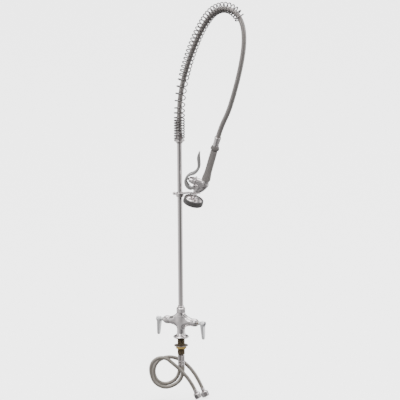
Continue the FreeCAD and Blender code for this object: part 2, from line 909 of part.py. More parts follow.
def make_hook():
    slope = size("fork_slope")
    reach, height = ball_centre()
    gap = size("fork_gap")
    rest = math.sqrt((size("ball_radius") + size("free_gap")) ** 2 - gap**2)
    fork_frame = (
        HANG_PLANE
        * at(reach, 0, height, Y_AXIS, -slope)
        * at(z=-rest - size("fork_thick") / 2)
    )
    outer = gap + size("fork_wall")
    tip = size("fork_reach")
    throat = size("fork_throat")
    back = -throat - gap - size("fork_wall") * 1.6
    blank = plate(
        [(back, -outer), (tip, -outer), (tip, outer), (back, outer)],
        [outer * 0.98, size("fork_wall") * 0.6, size("fork_wall") * 0.6, outer * 0.98],
        size("fork_thick"),
        "fork_blank",
    )
    slot = plate(
        [(-throat - gap, -gap), (tip * 2, -gap), (tip * 2, gap), (-throat - gap, gap)],
        [gap * 0.999, 0, 0, gap * 0.999],
        size("fork_thick") * 2,
        "fork_slot",
    )
    fork = cut_from(blank, slot)
    fork.Placement = fork_frame
    # The arm leaves the clamp, rises over the spray head's rim and runs level into the fork.
    root = HANG_PLANE.inverse() * fork_frame * Vector(back + size("fork_wall") * 0.8, 0, 0)
    arm_height = size("valve_height - hook_arm_height")
    middle = size("valve_height - clamp_middle")
    clamp_outer = size("pipe_radius + clamp_wall")
    arm_start = Vector(size("pipe_radius") + 2, 0, middle + size("clamp_height") * 0.22)
    arm_points = [
        arm_start,
        Vector(clamp_outer + 5, 0, arm_start.z + 4),
        Vector(root.x - 14, 0, arm_height),
        root,
    ]
    arm_wire = rounded_wire(arm_points, [0, 8, 20, 0], closed=False)
    section = Part.Wire(Part.makeCircle(size("hook_arm_radius"), arm_start, arm_points[1] - arm_start))
    arm = from_shape(arm_wire.makePipeShell([section], True, False), "hook_arm")
    arm.Placement = HANG_PLANE
    ring = cylinder("pipe_radius + clamp_wall", "clamp_height", at(z=middle - size("clamp_height") / 2))
    screw_frame = HANG_PLANE * at(z=middle) * at(axis=Y_AXIS, turn=-90)
    boss = cylinder("clamp_screw_radius * 2.2", "pipe_radius + clamp_wall + 3", screw_frame)
    below_clamp = at(z=middle - size("clamp_height") * 1.5)
    pipe_hole = cylinder("pipe_radius + thread_gap", "clamp_height * 3", below_clamp)
    screw_hole = cylinder("clamp_screw_radius + thread_gap", "knob_reach", screw_frame)
    clamp = joined(ring, boss, arm, fork)
    keep("finger_hook", cut_from(clamp, pipe_hole, screw_hole))
    shaft_start = "pipe_radius + seat_gap"
    turned(
        "hook_screw",
        [
            ("0", shaft_start),
            ("clamp_screw_radius", shaft_start),
            ("clamp_screw_radius", "knob_reach - knob_radius * 0.85"),
            ("knob_radius * 0.55", "knob_reach - knob_radius * 0.85"),
            ("knob_radius * 0.2", "knob_reach + knob_radius", "knob_radius"),
            ("0", "knob_reach + knob_radius"),
        ],
        screw_frame,
    )


# ---------------------------------------------------------------------------------------------
# Overhead spring and its hose
# ---------------------------------------------------------------------------------------------
def hose_start():
    return size("pipe_top + seat_gap + hose_nut_height + hose_ferrule_length")


def hang_point(reach, height, aside=0.0):
    """Point in the upright plane that the spring and hose hang in."""
    return HANG_PLANE * Vector(reach, aside, height)


def spray_hose_route():
    """Points that the hose is led by, from the riser's top to the spray valve's inlet."""
    base = hose_start()
    inlet = GRIP_FRAME * Vector(0, 0, connector_top())
    above_inlet = GRIP_FRAME * Vector(0, 0, connector_top() + 38)
    return [
        hang_point(0, base),
        hang_point(0, 800),
        hang_point(6, 862),
        hang_point(21, 928),
        hang_point(43, 995),
        hang_point(71, 1062),
        hang_point(106, 1130),
        hang_point(152, 1184),
        hang_point(208, 1206),
        hang_point(258, 1190),
        hang_point(284, 1144),
        hang_point(288, 1082),
        hang_point(275, 1015),
        hang_point(258, 952, 1),
        hang_point(236, 890, 4),
        hang_point(209, 830, 7),
        above_inlet,
        inlet,
    ]


# The spring's windings from its foot to its open end: length of the stretch and its pitch.
WINDINGS = [(72, 9), (36, 17), (112, 27), (235, 16.5), (196, 14)]


def make_spring_and_hose():
    top = size("pipe_top")
    boss_top = "retainer_height + retainer_boss_height"
    retainer_base = top - size(f"{boss_top} + retainer_skirt")
    pipe_socket = "pipe_radius + thread_gap"
    turned(
        "spring_retainer",
        [
            (pipe_socket, "0"),
            ("pipe_radius + 2.6", "0"),
            ("pipe_radius + 3.6", "retainer_skirt"),
            ("retainer_radius - 0.8", "retainer_skirt"),
            ("retainer_radius", "retainer_skirt + 0.8"),
            ("retainer_radius", "retainer_skirt + retainer_height"),
            ("retainer_boss", "retainer_skirt + retainer_height"),
            ("retainer_boss", f"retainer_skirt + {boss_top} - 1.5"),
            ("retainer_boss - 1.5", f"retainer_skirt + {boss_top}"),
            (pipe_socket, f"retainer_skirt + {boss_top}"),
        ],
        at(z=retainer_base),
    )
    flange_top = retainer_base + size("retainer_skirt + retainer_height")
    nut_base = top + size("seat_gap")
    nut("hose_nut", "hose_nut_flats", "hose_nut_height", "pipe_bore", at(z=nut_base))
    ferrule_base = nut_base + size("hose_nut_height")
    turned(
        "hose_ferrule",
        [
            ("pipe_bore", "0"),
            ("hose_ferrule_radius", "0"),
            ("hose_ferrule_radius", "hose_ferrule_length - 1"),
            ("hose_ferrule_radius - 0.8", "hose_ferrule_length - seat_gap"),
            ("pipe_bore", "hose_ferrule_length - seat_gap"),
        ],
        at(z=ferrule_base),
    )
    route = spray_hose_route()
    hose("spray_hose", route, size("hose_radius"))

    # The spring is wound round the hose's own centre line, from the retainer's flange up.
    foot = Vector(0, 0, flange_top + size("spring_wire") * 1.15 + size("seat_gap"))
    line = route_wire([foot] + route[1:])
    length = sum(stretch for stretch, pitch in WINDINGS)
    pieces = line.Edges
    aside = HANG_PLANE.Rotation.multVec(Y_AXIS)

    def centre_at(distance):
        left = distance
        for edge in pieces:
            if left <= edge.Length or edge is pieces[-1]:
                parameter = edge.getParameterByLength(min(left, edge.Length))
                return edge.valueAt(parameter), edge.tangentAt(parameter), aside
            left -= edge.Length
        raise ValueError("the spring is longer than its route")

    def turns_at(distance):
        turns = 0.0
        left = distance
        for stretch, pitch in WINDINGS:
            turns += min(left, stretch) / pitch
            left -= min(left, stretch)
        return turns

    wire_radius = size("spring_wire")
    wound = coil(centre_at, length, turns_at, size("spring_radius"), wire_radius, size("spring_chords"))
    keep("overhead_spring", from_shape(wound, "overhead_spring"))


# ---------------------------------------------------------------------------------------------
# Spray valve
# ---------------------------------------------------------------------------------------------
def grip_top():
    return size("grip_bottom + grip_length")


def collar_base():
    return grip_top() + 3


def connector_base():
    return collar_base() + size("end_collar_height + seat_gap")


def connector_top():
    return connector_base() + size("connector_height")


def make_grip():
    bore = "tube_radius + thread_gap"
    turned(
        "grip",
        [
            (bore, "0"),
            ("grip_flare_radius - 1.5", "0"),
            ("grip_flare_radius", "1.5", "1.5"),
            ("grip_flare_radius", "4"),
            ("grip_radius", "grip_flare_height", "-160"),
            ("grip_radius", "grip_length - 2"),
            ("grip_radius - 2", "grip_length", "2"),
            (bore, "grip_length"),
        ],
        GRIP_FRAME * at(z=size("grip_bottom")),
    )
    tube_base = size("chamber_height") + 7
    tube_top = collar_base() + size("end_collar_height") - 3
    turned(
        "handle_tube",
        [
            ("tube_bore", "0"),
            ("tube_radius", "0"),
            ("tube_radius", str(tube_top - tube_base)),
            ("tube_bore", str(tube_top - tube_base)),
        ],
        GRIP_FRAME * at(z=tube_base),
    )
    turned(
        "end_collar",
        [
            (bore, "0"),
            ("end_collar_radius - 1.5", "0"),
            ("end_collar_radius", "1.5"),
            ("end_collar_radius", "end_collar_height * 0.45"),
            ("connector_radius + 1.5", "end_collar_height", "end_collar_radius * 0.8"),
            ("tube_bore", "end_collar_height"),
            ("tube_bore", "end_collar_height - 2.9"),
            (bore, "end_collar_height - 2.9"),
        ],
        GRIP_FRAME * at(z=collar_base()),
    )
    ring = "connector_radius + connector_ring"
    turned(
        "hose_connector",
        [
            ("tube_bore", "0"),
            ("connector_radius", "0"),
            ("connector_radius", "connector_height * 0.28"),
            ("connector_radius - 1", "connector_height * 0.34"),
            ("connector_radius", "connector_height * 0.40"),
            ("connector_radius", "connector_height - 8"),
            (ring, "connector_height - 7", "1.2"),
            (ring, "connector_height - 1.2"),
            (f"{ring} - 1.2", "connector_height", "1.2"),
            ("tube_bore", "connector_height"),
        ],
        GRIP_FRAME * at(z=connector_base()),
    )


def make_valve_body():
    chamber_z = size("chamber_height")
    left = size("chamber_left")
    grip_x = size("grip_offset")
    along = at(z=chamber_z) * ALONG_X
    chamber = cylinder("chamber_radius", "grip_offset - chamber_left", along * at(z=left))
    elbow = ball("chamber_radius", at(grip_x, 0, chamber_z))
    socket = cylinder("socket_radius", "grip_bottom - seat_gap - chamber_height", at(grip_x, 0, chamber_z))
    # The outlet draws in from the chamber's oval belly to the round neck.
    sections = []
    for middle, half_long, half_wide, height in (
        (grip_x * 0.50, size("chamber_radius") * 1.46, size("chamber_radius") * 0.86, chamber_z),
        (grip_x * 0.36, size("chamber_radius") * 1.10, size("chamber_radius") * 0.74, chamber_z * 0.56),
        (0, size("neck_radius") + 2.2, size("neck_radius") + 2.2, size("ball_height")),
    ):
        oval = Part.Ellipse(Vector(middle, 0, height), half_long, half_wide - 0.001)
        sections.append(Part.Wire([oval.toShape()]))
    outlet = from_shape(Part.makeLoft(sections, True, False), "outlet")
    neck_ball = ball("ball_radius", at(z=size("ball_height")))
    neck = cylinder("neck_radius", "ball_height - neck_bottom", at(z=size("neck_bottom")))
    pivot_x = size("lever_pivot_x")
    pivot_z = size("lever_pivot_z")
    lug_radius = size("lug_radius")
    flange_side = left + 0.8
    flange_low = chamber_z - size("bonnet_flange") - 1
    lug_outline = [
        (pivot_x - lug_radius, pivot_z - lug_radius),
        (4, pivot_z - lug_radius - 2),
        (6, chamber_z - 6),
        (flange_side, chamber_z - 8),
        (flange_side, flange_low),
        (pivot_x - lug_radius, pivot_z + lug_radius),
    ]
    heel = size("lever_heel_width / 2 + running_gap * 2")
    lugs = []
    for direction in (1, -1):
        lug = plate(lug_outline, [lug_radius * 0.9, 1, 1, 1, 2, lug_radius * 0.9], size("lug_thick"), "lug")
        lug.Placement = at(0, direction * (heel + size("lug_thick") / 2), 0, X_AXIS, 90)
        lugs.append(lug)
    solid = joined(chamber, elbow, socket, outlet, neck_ball, neck, *lugs)
    seat_end = size("seat_left + seat_wall")
    tools = [
        cylinder("outlet_bore", "seat_left - chamber_left + 1", along * at(z=left - 1)),
        cylinder("seat_port", "seat_wall + 2", along * at(z=size("seat_left") - 1)),
        cylinder("inlet_bore", "grip_offset - seat_left - seat_wall + 4", along * at(z=seat_end)),
        cylinder("tube_radius + thread_gap", "grip_bottom", at(grip_x, 0, chamber_z + 6.9)),
        cylinder("tube_bore", "grip_bottom", at(grip_x, 0, chamber_z)),
        cylinder("neck_bore", "chamber_height - neck_bottom + 1", at(z=size("neck_bottom") - 1)),
        cylinder("pin_radius + thread_gap", "60", at(pivot_x, 30, pivot_z, X_AXIS, 90)),
    ]
    # Room for the lever's heel between the lugs.
    room = doc.addObject("Part::Box", "heel_room")
    room.setExpression("Width", linked("lever_heel_width + running_gap * 4"))
    room.setExpression("Height", linked("lug_radius * 4.2"))
    room.setExpression("Length", linked("lug_radius * 2.3"))
    room.Placement = at(pivot_x - lug_radius * 1.3, -heel, pivot_z - lug_radius * 2)
    keep("valve_body", cut_from(solid, room, *tools), VALVE_FRAME)


def make_valve_insides():
    left = size("chamber_left")
    outward = CHAMBER_FRAME
    bonnet_end = left - size("valve_bonnet_length + seat_gap")
    # Outline from the bonnet's nose inwards: z grows towards the chamber.
    length = "valve_bonnet_length"
    plunger_bore = "button_radius + running_gap"
    turned(
        "valve_bonnet",
        [
            (plunger_bore, "0"),
            ("button_radius + 3.4", "0"),
            ("button_radius + 4.4", "1"),
            ("chamber_radius - 1.4", f"{length} * 0.45", "-40"),
            ("chamber_radius - 0.4", f"{length} * 0.5"),
            ("chamber_radius - 0.4", f"{length} - 5"),
            ("bonnet_flange - 1", f"{length} - 5"),
            ("bonnet_flange", f"{length} - 4"),
            ("bonnet_flange", f"{length} - 1"),
            ("bonnet_flange - 1", length),
            ("outlet_bore", length),
            ("outlet_bore", "6"),
            (plunger_bore, "6"),
        ],
        outward * at(z=bonnet_end),
    )
    button = size("button_end")
    shoulder = bonnet_end + 6 + 1.2
    seat = size("seat_left + seat_wall")
    carrier = seat + 1.8
    turned(
        "plunger",
        [
            ("0", "0"),
            ("button_radius", "1.6", "button_radius * 2.2"),
            ("button_radius", str(shoulder - button)),
            ("spring_seat_radius", str(shoulder - button)),
            ("spring_seat_radius", str(shoulder - button + 1.6)),
            ("rod_radius", str(shoulder - button + 1.6)),
            ("rod_radius", str(carrier - button)),
            ("spring_seat_radius", str(carrier - button)),
            ("spring_seat_radius", str(carrier - button + 3)),
            ("0", str(carrier - button + 3)),
        ],
        outward * at(z=button),
    )
    turned(
        "seat_washer",
        [
            ("rod_radius + thread_gap", "0"),
            ("spring_seat_radius", "0"),
            ("spring_seat_radius", "1.6"),
            ("rod_radius + thread_gap", "1.6"),
        ],
        outward * at(z=seat + size("seat_gap")),
    )
    wire = size("return_wire")
    coil_start = shoulder + 1.6 + wire * 1.3
    coil_end = size("seat_left") - wire * 1.3
    coil_length = coil_end - coil_start

    def centre_at(distance):
        return Vector(0, 0, distance), Z_AXIS, X_AXIS

    def turns_at(distance):
        return size("return_turns") * distance / coil_length

    wound = coil(centre_at, coil_length, turns_at, size("return_radius"), wire, 10, ends=4)
    keep("return_spring", from_shape(wound, "return_spring"), outward * at(z=coil_start))


def make_lever():
    pivot_x = size("lever_pivot_x")
    pivot_z = size("lever_pivot_z")
    thick = size("lever_thick")
    push_face = size("button_end") - 0.3 - thick / 2
    centre_line = [
        Vector(pivot_x, 0, pivot_z),
        Vector(pivot_x - 14, 0, pivot_z - 11),
        Vector(push_face - 1, 0, pivot_z + 2),
        Vector(push_face, 0, size("chamber_height") + 18),
        Vector(-15.5, 0, 84),
        Vector(-18.5, 0, 108),
        Vector(-33, 0, 134),
        Vector(-36.5, 0, 157),
    ]
    wire = rounded_wire(centre_line, [0, 9, 13, 17, 13, 26, 40, 0], closed=False)
    start = centre_line[0]
    way = (centre_line[1] - start).normalize()
    across = way.cross(Y_AXIS)
    half = size("lever_width") / 2
    corners = [
        start + across * (thick / 2) + Y_AXIS * half,
        start + across * (thick / 2) - Y_AXIS * half,
        start - across * (thick / 2) - Y_AXIS * half,
        start - across * (thick / 2) + Y_AXIS * half,
    ]
    strip = wire.makePipeShell([Part.makePolygon(corners + corners[:1])], True, False)
    # Front view of the strip: narrow heel between the lugs, waist below the fingers, round tip.
    heel = size("lever_heel_width") / 2
    top = centre_line[-1].z + thick
    right = [
        (heel, -6),
        (heel, 26),
        (half * 0.8, 46),
        (half * 0.8, 68),
        (half * 0.55, 92),
        (half, 134),
        (half * 0.9, top),
    ]
    outline = right + [(-y, z) for y, z in reversed(right)]
    rounding = [0, 8, 12, 12, 30, 25, half * 0.85]
    front = plate(outline, rounding + rounding[::-1], 120, "lever_front")
    front.Placement = Placement(Vector(), Rotation(Vector(0, 1, 0), Vector(0, 0, 1), Vector(1, 0, 0), "ZXY"))
    shaped = common_of(from_shape(strip, "lever_strip"), front)
    hub = cylinder("lug_radius - 0.6", "lever_heel_width", at(pivot_x, heel, pivot_z, X_AXIS, 90))
    pin_hole = cylinder("pin_radius + running_gap", "60", at(pivot_x, 30, pivot_z, X_AXIS, 90))
    keep("squeeze_lever", cut_from(joined(shaped, hub), pin_hole), VALVE_FRAME)
    stack = "lever_heel_width + running_gap * 4 + lug_thick * 2"
    turned(
        "lever_pin",
        [
            ("0", "0"),
            ("pin_head", "0"),
            ("pin_head", "pin_head_height * 0.6"),
            ("pin_head - 0.7", "pin_head_height"),
            ("pin_radius", "pin_head_height"),
            ("pin_radius", f"pin_head_height + {stack} + 1.2"),
            ("0", f"pin_head_height + {stack} + 1.2"),
        ],
        VALVE_FRAME
        * at(pivot_x, -size(f"({stack}) / 2 + pin_head_height + seat_gap"), pivot_z, X_AXIS, -90),
    )


def make_spray_head():
    top = size("disc_top")
    dome_top = size("disc_top + dome_rise")
    inner = "disc_radius - bumper_wall"
    neck_hole = "neck_radius + thread_gap"
    depth = "disc_height - face_inset - face_thick - seat_gap"
    turned(
        "spray_head_shell",
        [
            (neck_hole, f"{depth} + dome_rise - 7"),
            ("face_radius - 1.5", f"{depth} - dome_wall", "-70"),
            ("face_radius - 1.5", "0"),
            (f"{inner} - thread_gap", "0"),
            (f"{inner} - thread_gap", f"{depth} - 0.6"),
            ("neck_radius + 4", f"{depth} + dome_rise - 2.5", "62"),
            ("neck_radius + 2.6", f"{depth} + dome_rise"),
            (neck_hole, f"{depth} + dome_rise"),
        ],
        VALVE_FRAME * at(z=top - size(depth)),
    )
    turned(
        "bumper_ring",
        [
            (inner, "1"),
            (f"{inner} - 4", "1"),
            (f"{inner} - 4", "0"),
            ("disc_radius - 3", "0"),
            ("disc_radius", "3", "3"),
            ("disc_radius", "disc_height * 0.52"),
            ("disc_radius - 1", "disc_height * 0.56"),
            ("disc_radius - 1", "disc_height * 0.62"),
            ("disc_radius - 0.3", "disc_height * 0.66"),
            ("disc_radius - 0.3", "disc_height - 3.5"),
            ("disc_radius - 3.5", "disc_height", "3.5"),
            (inner, "disc_height"),
        ],
        VALVE_FRAME * at(z=top - size("disc_height")),
    )
    plate_base = top - size("disc_height - face_inset")
    blank = turned_body(
        "spray_face_blank",
        [
            ("0", "0"),
            ("face_radius", "0"),
            ("face_radius", "face_thick"),
            ("0", "face_thick"),
        ],
    )
    holes = []
    for ring in (1, 2):
        count = int(size("nozzle_count")) * ring
        for index in range(count):
            angle = 360 * index / count
            place = at(turn=angle) * at(size("nozzle_ring") * ring, 0, -1)
            holes.append(cylinder("nozzle_radius", "face_thick + 2", place))
    holes.append(cylinder("screw_radius + thread_gap", "face_thick + 2", at(z=-1)))
    keep("spray_face", cut_from(blank, joined(*holes)), VALVE_FRAME * at(z=plate_base))
    turned(
        "face_screw",
        [
            ("0", "0"),
            ("screw_head_radius - 0.8", "0"),
            ("screw_head_radius", "1"),
            ("screw_head_radius", "screw_head_height"),
            ("screw_radius", "screw_head_height"),
            ("screw_radius", "screw_head_height + face_thick + 3"),
            ("0", "screw_head_height + face_thick + 3"),
        ],
        VALVE_FRAME * at(z=plate_base - size("screw_head_height + seat_gap")),
    )


# ---------------------------------------------------------------------------------------------
# Supply hoses
# ---------------------------------------------------------------------------------------------
# Points that each supply hose is led by below its tail, chosen by hand: x, y and z.
SUPPLY_ROUTES = {
    "cold": [
        (6, -4, -132),
        (-12, -5, -170),
        (-55, -7, -188),
        (-95, -11, -166),
        (-110, -15, -117),
        (-99, -19, -72),
        (-66, -22, -58),
        (-30, -23, -84),
        (7, -23, -117),
        (33, -22, -155),
        (45, -21, -181),
    ],
    "hot": [
        (-7, 4, -132),
        (-26, 6, -158),
        (-58, 9, -170),
        (-88, 12, -156),
        (-100, 15, -120),
        (-86, 17, -86),
        (-50, 19, -69),
        (-8, 20, -78),
        (28, 19, -108),
        (56, 16, -150),
        (71, 13, -184),
    ],
}


def make_supply(side):
    frame = ARM_LINE * SIDES[side] * at(size("supply_spacing"))
    exit_height = "crimp_top - crimp_length"
    collar = turned_body(
        f"{side}_tail",
        [
            ("tail_bore", "0"),
            ("crimp_radius - 0.5", "0"),
            ("crimp_radius", "1"),
            ("crimp_radius", "crimp_length * 0.22"),
            ("crimp_radius - 0.5", "crimp_length * 0.26"),
            ("crimp_radius", "crimp_length * 0.30"),
            ("crimp_radius", "crimp_length * 0.44"),
            ("crimp_radius - 0.5", "crimp_length * 0.48"),
            ("crimp_radius", "crimp_length * 0.52"),
            ("crimp_radius", "crimp_length - 1.5"),
            ("tail_radius", "crimp_length"),
            ("tail_radius", f"{TAIL_TOP} - ({exit_height})"),
            ("tail_bore", f"{TAIL_TOP} - ({exit_height})"),
        ],
    )
    keep(f"{side}_hose_tail", collar, frame * at(z=size(exit_height)))
    start = frame * Vector(0, 0, size(exit_height) - size("seat_gap"))
    points = [start] + [Vector(*point) for point in SUPPLY_ROUTES[side]]
    hose(f"{side}_supply_hose", points, size("supply_radius"))
    way = (points[-1] - points[-2]).normalize()
    end_frame = Placement(points[-1], Rotation(Z_AXIS, way))
    neck_length = "coupling_length - coupling_depth + seat_gap"
    turned(
        f"{side}_hose_end",
        [
            ("tail_bore", "seat_gap"),
            ("end_crimp_radius - 0.6", "seat_gap"),
            ("end_crimp_radius", "1"),
            ("end_crimp_radius", "end_crimp_length - 1.2"),
            ("end_neck_radius", "end_crimp_length"),
            ("end_neck_radius", f"end_crimp_length + {neck_length} + seat_gap"),
            ("end_flange_radius", f"end_crimp_length + {neck_length} + seat_gap"),
            ("end_flange_radius", f"end_crimp_length + {neck_length} + seat_gap + 2"),
            ("tail_bore", f"end_crimp_length + {neck_length} + seat_gap + 2"),
        ],
        end_frame,
    )
    nut_frame = end_frame * at(z=size("end_crimp_length + seat_gap"))
    corner = "coupling_flats / sqrt(3)"
    back_wall = "coupling_length - coupling_depth"
    blank = turned_body(
        f"{side}_coupling_blank",
        [
            ("end_neck_radius + running_gap", "0"),
            ("coupling_flats * 0.42", "0"),
            (corner, "coupling_flats * 0.12"),
            (corner, "coupling_length - 1"),
            ("coupling_flats * 0.49", "coupling_length"),
            ("coupling_bore", "coupling_length"),
            ("coupling_bore", f"{back_wall} + relief_length"),
            ("coupling_bore + relief_depth", f"{back_wall} + relief_length"),
            ("coupling_bore + relief_depth", back_wall),
            ("end_neck_radius + running_gap", back_wall),
        ],
    )
    keep(f"{side}_coupling_nut", common_of(hexagon("coupling_flats", "coupling_length"), blank), nut_frame)
    washer_base = size(f"end_crimp_length + {neck_length} + seat_gap * 2 + 2")
    turned(
        f"{side}_coupling_washer",
        [
            ("tail_bore + 2", "0"),
            ("end_flange_radius", "0"),
            ("end_flange_radius", "coupling_washer_height"),
            ("tail_bore + 2", "coupling_washer_height"),
        ],
        end_frame * at(z=washer_base),
    )


make_deck_fixing()
make_faucet_body()
for side_name in SIDES:
    make_side(side_name)
make_riser()
make_hook()
make_spring_and_hose()
make_grip()
make_valve_body()
make_valve_insides()
make_lever()
make_spray_head()
for side_name in SIDES:
    make_supply(side_name)
doc.recompute()

# ---------------------------------------------------------------------------------------------
# Check every object, then write one STEP file for each piece
# ---------------------------------------------------------------------------------------------
for item in doc.Objects:
    if "Invalid" in item.State or "Error" in item.State:
        raise RuntimeError(f"{item.Label} failed: {item.State}")
for label, piece in nodes.items():
    if piece.Shape.isNull() or not piece.Shape.isValid():
        raise RuntimeError(f"{label} has no valid shape")
    if piece.Shape.Volume <= 0 or len(piece.Shape.Solids) != 1:
        raise RuntimeError(f"{label}: {len(piece.Shape.Solids)} solids, volume {piece.Shape.Volume:.1f}")
for label, piece in nodes.items():
    piece.Shape.exportStep(f"parts/{label}.step")
print(f"{len(nodes)} pieces written")
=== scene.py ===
import json
import math

import bmesh
import bpy
import numpy as np
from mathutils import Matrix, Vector


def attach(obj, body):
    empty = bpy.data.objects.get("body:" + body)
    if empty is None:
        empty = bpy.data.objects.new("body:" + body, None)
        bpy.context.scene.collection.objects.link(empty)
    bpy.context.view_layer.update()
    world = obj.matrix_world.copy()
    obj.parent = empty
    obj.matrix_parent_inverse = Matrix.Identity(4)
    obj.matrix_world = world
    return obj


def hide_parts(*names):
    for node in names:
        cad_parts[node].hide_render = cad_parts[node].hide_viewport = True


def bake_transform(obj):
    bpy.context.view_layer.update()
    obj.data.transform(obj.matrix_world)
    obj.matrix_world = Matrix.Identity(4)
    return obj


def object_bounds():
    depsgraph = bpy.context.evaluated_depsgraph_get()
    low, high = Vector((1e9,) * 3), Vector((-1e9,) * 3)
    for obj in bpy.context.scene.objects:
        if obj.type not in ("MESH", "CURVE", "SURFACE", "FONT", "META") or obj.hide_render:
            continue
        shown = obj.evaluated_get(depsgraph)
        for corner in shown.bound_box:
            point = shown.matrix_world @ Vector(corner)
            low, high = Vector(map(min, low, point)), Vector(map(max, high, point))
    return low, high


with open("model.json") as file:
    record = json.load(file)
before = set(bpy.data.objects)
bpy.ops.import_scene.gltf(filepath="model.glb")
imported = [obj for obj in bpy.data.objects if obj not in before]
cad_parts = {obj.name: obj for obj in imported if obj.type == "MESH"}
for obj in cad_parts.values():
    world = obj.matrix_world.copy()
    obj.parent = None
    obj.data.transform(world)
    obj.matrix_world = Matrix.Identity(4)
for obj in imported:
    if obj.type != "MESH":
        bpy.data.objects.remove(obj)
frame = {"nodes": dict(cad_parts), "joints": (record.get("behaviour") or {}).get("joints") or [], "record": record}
CAD_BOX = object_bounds()

bl_info = {
    "name": "Pre Rinse Faucet",
    "version": (1, 0, 0),
    "blender": (4, 5, 0),
    "location": "View3D > Sidebar > Faucet",
    "description": "Builds the visible surfaces and finishes of a deck-mounted pre-rinse faucet",
    "category": "Object",
}

MM = 0.001
TAU = 2 * math.pi
JOINTS = {joint["name"]: joint for joint in frame["joints"]}


# ---- Frames: four-by-four matrices in metres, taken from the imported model's joints ----
def unit(vector):
    vector = np.asarray(vector, float)
    return vector / np.linalg.norm(vector)


def frame_at(origin, x_axis, z_axis):
    """Matrix whose third column is the unit z axis, first column the x axis, second z cross x."""
    z_axis = unit(z_axis)
    x_axis = unit(np.asarray(x_axis, float) - z_axis * np.dot(x_axis, z_axis))
    matrix = np.eye(4)
    matrix[:3, 0] = x_axis
    matrix[:3, 1] = np.cross(z_axis, x_axis)
    matrix[:3, 2] = z_axis
    matrix[:3, 3] = origin
    return matrix


def shifted(matrix, x=0.0, y=0.0, z=0.0):
    """The frame moved along its own axes by millimetres."""
    moved = matrix.copy()
    moved[:3, 3] += matrix[:3, :3] @ (np.array([x, y, z]) * MM)
    return moved


def placed(points, matrix):
    """Points in millimetres in a local frame, as metres in the row frame."""
    return np.asarray(points, float) * MM @ matrix[:3, :3].T + matrix[:3, 3]


UPRIGHT = np.eye(4)
ARM = -unit(JOINTS["cold_handle_turn"]["axis"])
ARM_HEIGHT = JOINTS["cold_handle_turn"]["pos_m"][2]
BODY_FRAME = frame_at((0, 0, 0), ARM, (0, 0, 1))
ARM_FRAMES = {
    "cold": frame_at((0, 0, ARM_HEIGHT), (0, 0, -1), ARM),
    "hot": frame_at((0, 0, ARM_HEIGHT), (0, 0, -1), -ARM),
}
OUTWARD = np.array(JOINTS["spray_valve_lift_off"]["axis"])
HANG_FRAME = frame_at((0, 0, 0), OUTWARD * (1, 1, 0), (0, 0, 1))
VALVE_X = unit(JOINTS["plunger_slide"]["axis"])
VALVE_Y = unit(JOINTS["trigger_squeeze"]["axis"])
LEVER_PIVOT = (-12.3, 19.0)
VALVE_FRAME = shifted(
    frame_at(JOINTS["trigger_squeeze"]["pos_m"], VALVE_X, np.cross(VALVE_X, VALVE_Y)),
    -LEVER_PIVOT[0], 0, -LEVER_PIVOT[1],
)
CHAMBER_HEIGHT = 44.5
GRIP_OFFSET = 21.7
GRIP_FRAME = shifted(VALVE_FRAME, GRIP_OFFSET)
CHAMBER_FRAME = frame_at(
    shifted(VALVE_FRAME, z=CHAMBER_HEIGHT)[:3, 3], -VALVE_FRAME[:3, 2], VALVE_FRAME[:3, 0]
)


# ---- Sizes and colours that a user may change ----
def length_setting(name, default_mm, description):
    return bpy.props.FloatProperty(
        name=name, description=description, default=default_mm * MM, min=0, subtype="DISTANCE", unit="LENGTH"
    )


def count_setting(name, default, description, low=3):
    return bpy.props.IntProperty(name=name, description=description, default=default, min=low)


def colour_setting(name, default, description):
    return bpy.props.FloatVectorProperty(
        name=name, description=description, default=default, size=3, min=0, max=1, subtype="COLOR"
    )


class FaucetSizes(bpy.types.PropertyGroup):
    """Sizes of the fine detail that the frame leaves out."""

    around: count_setting("Segments around", 72, "Segments round a turned piece")
    spring_radius: length_setting("Spring radius", 17.4,
                                  "From the spring's centre line to the middle of its wire")
    spring_wire: length_setting("Spring wire radius", 2.2, "Radius of the overhead spring's wire")
    hose_radius: length_setting("Hose radius", 8.9, "Outside radius of the flexible spray hose")
    hose_pitch: length_setting("Hose winding pitch", 4.4, "Distance between the spray hose's wound ridges")
    hose_groove: length_setting("Hose groove depth", 0.55, "Depth of the groove between the wound ridges")
    supply_radius: length_setting("Supply hose radius", 6.3, "Outside radius of the braided supply hoses")
    braid_depth: length_setting("Braid depth", 0.28, "How far the braid's strands stand out")
    thread_pitch: length_setting("Shank thread pitch", 1.8, "Pitch of the shank's thread")
    thread_depth: length_setting("Shank thread depth", 0.9, "Depth of the shank's thread")
    cast_cell: length_setting("Casting cell", 0.85, "Size of the cells that castings are worked out on")


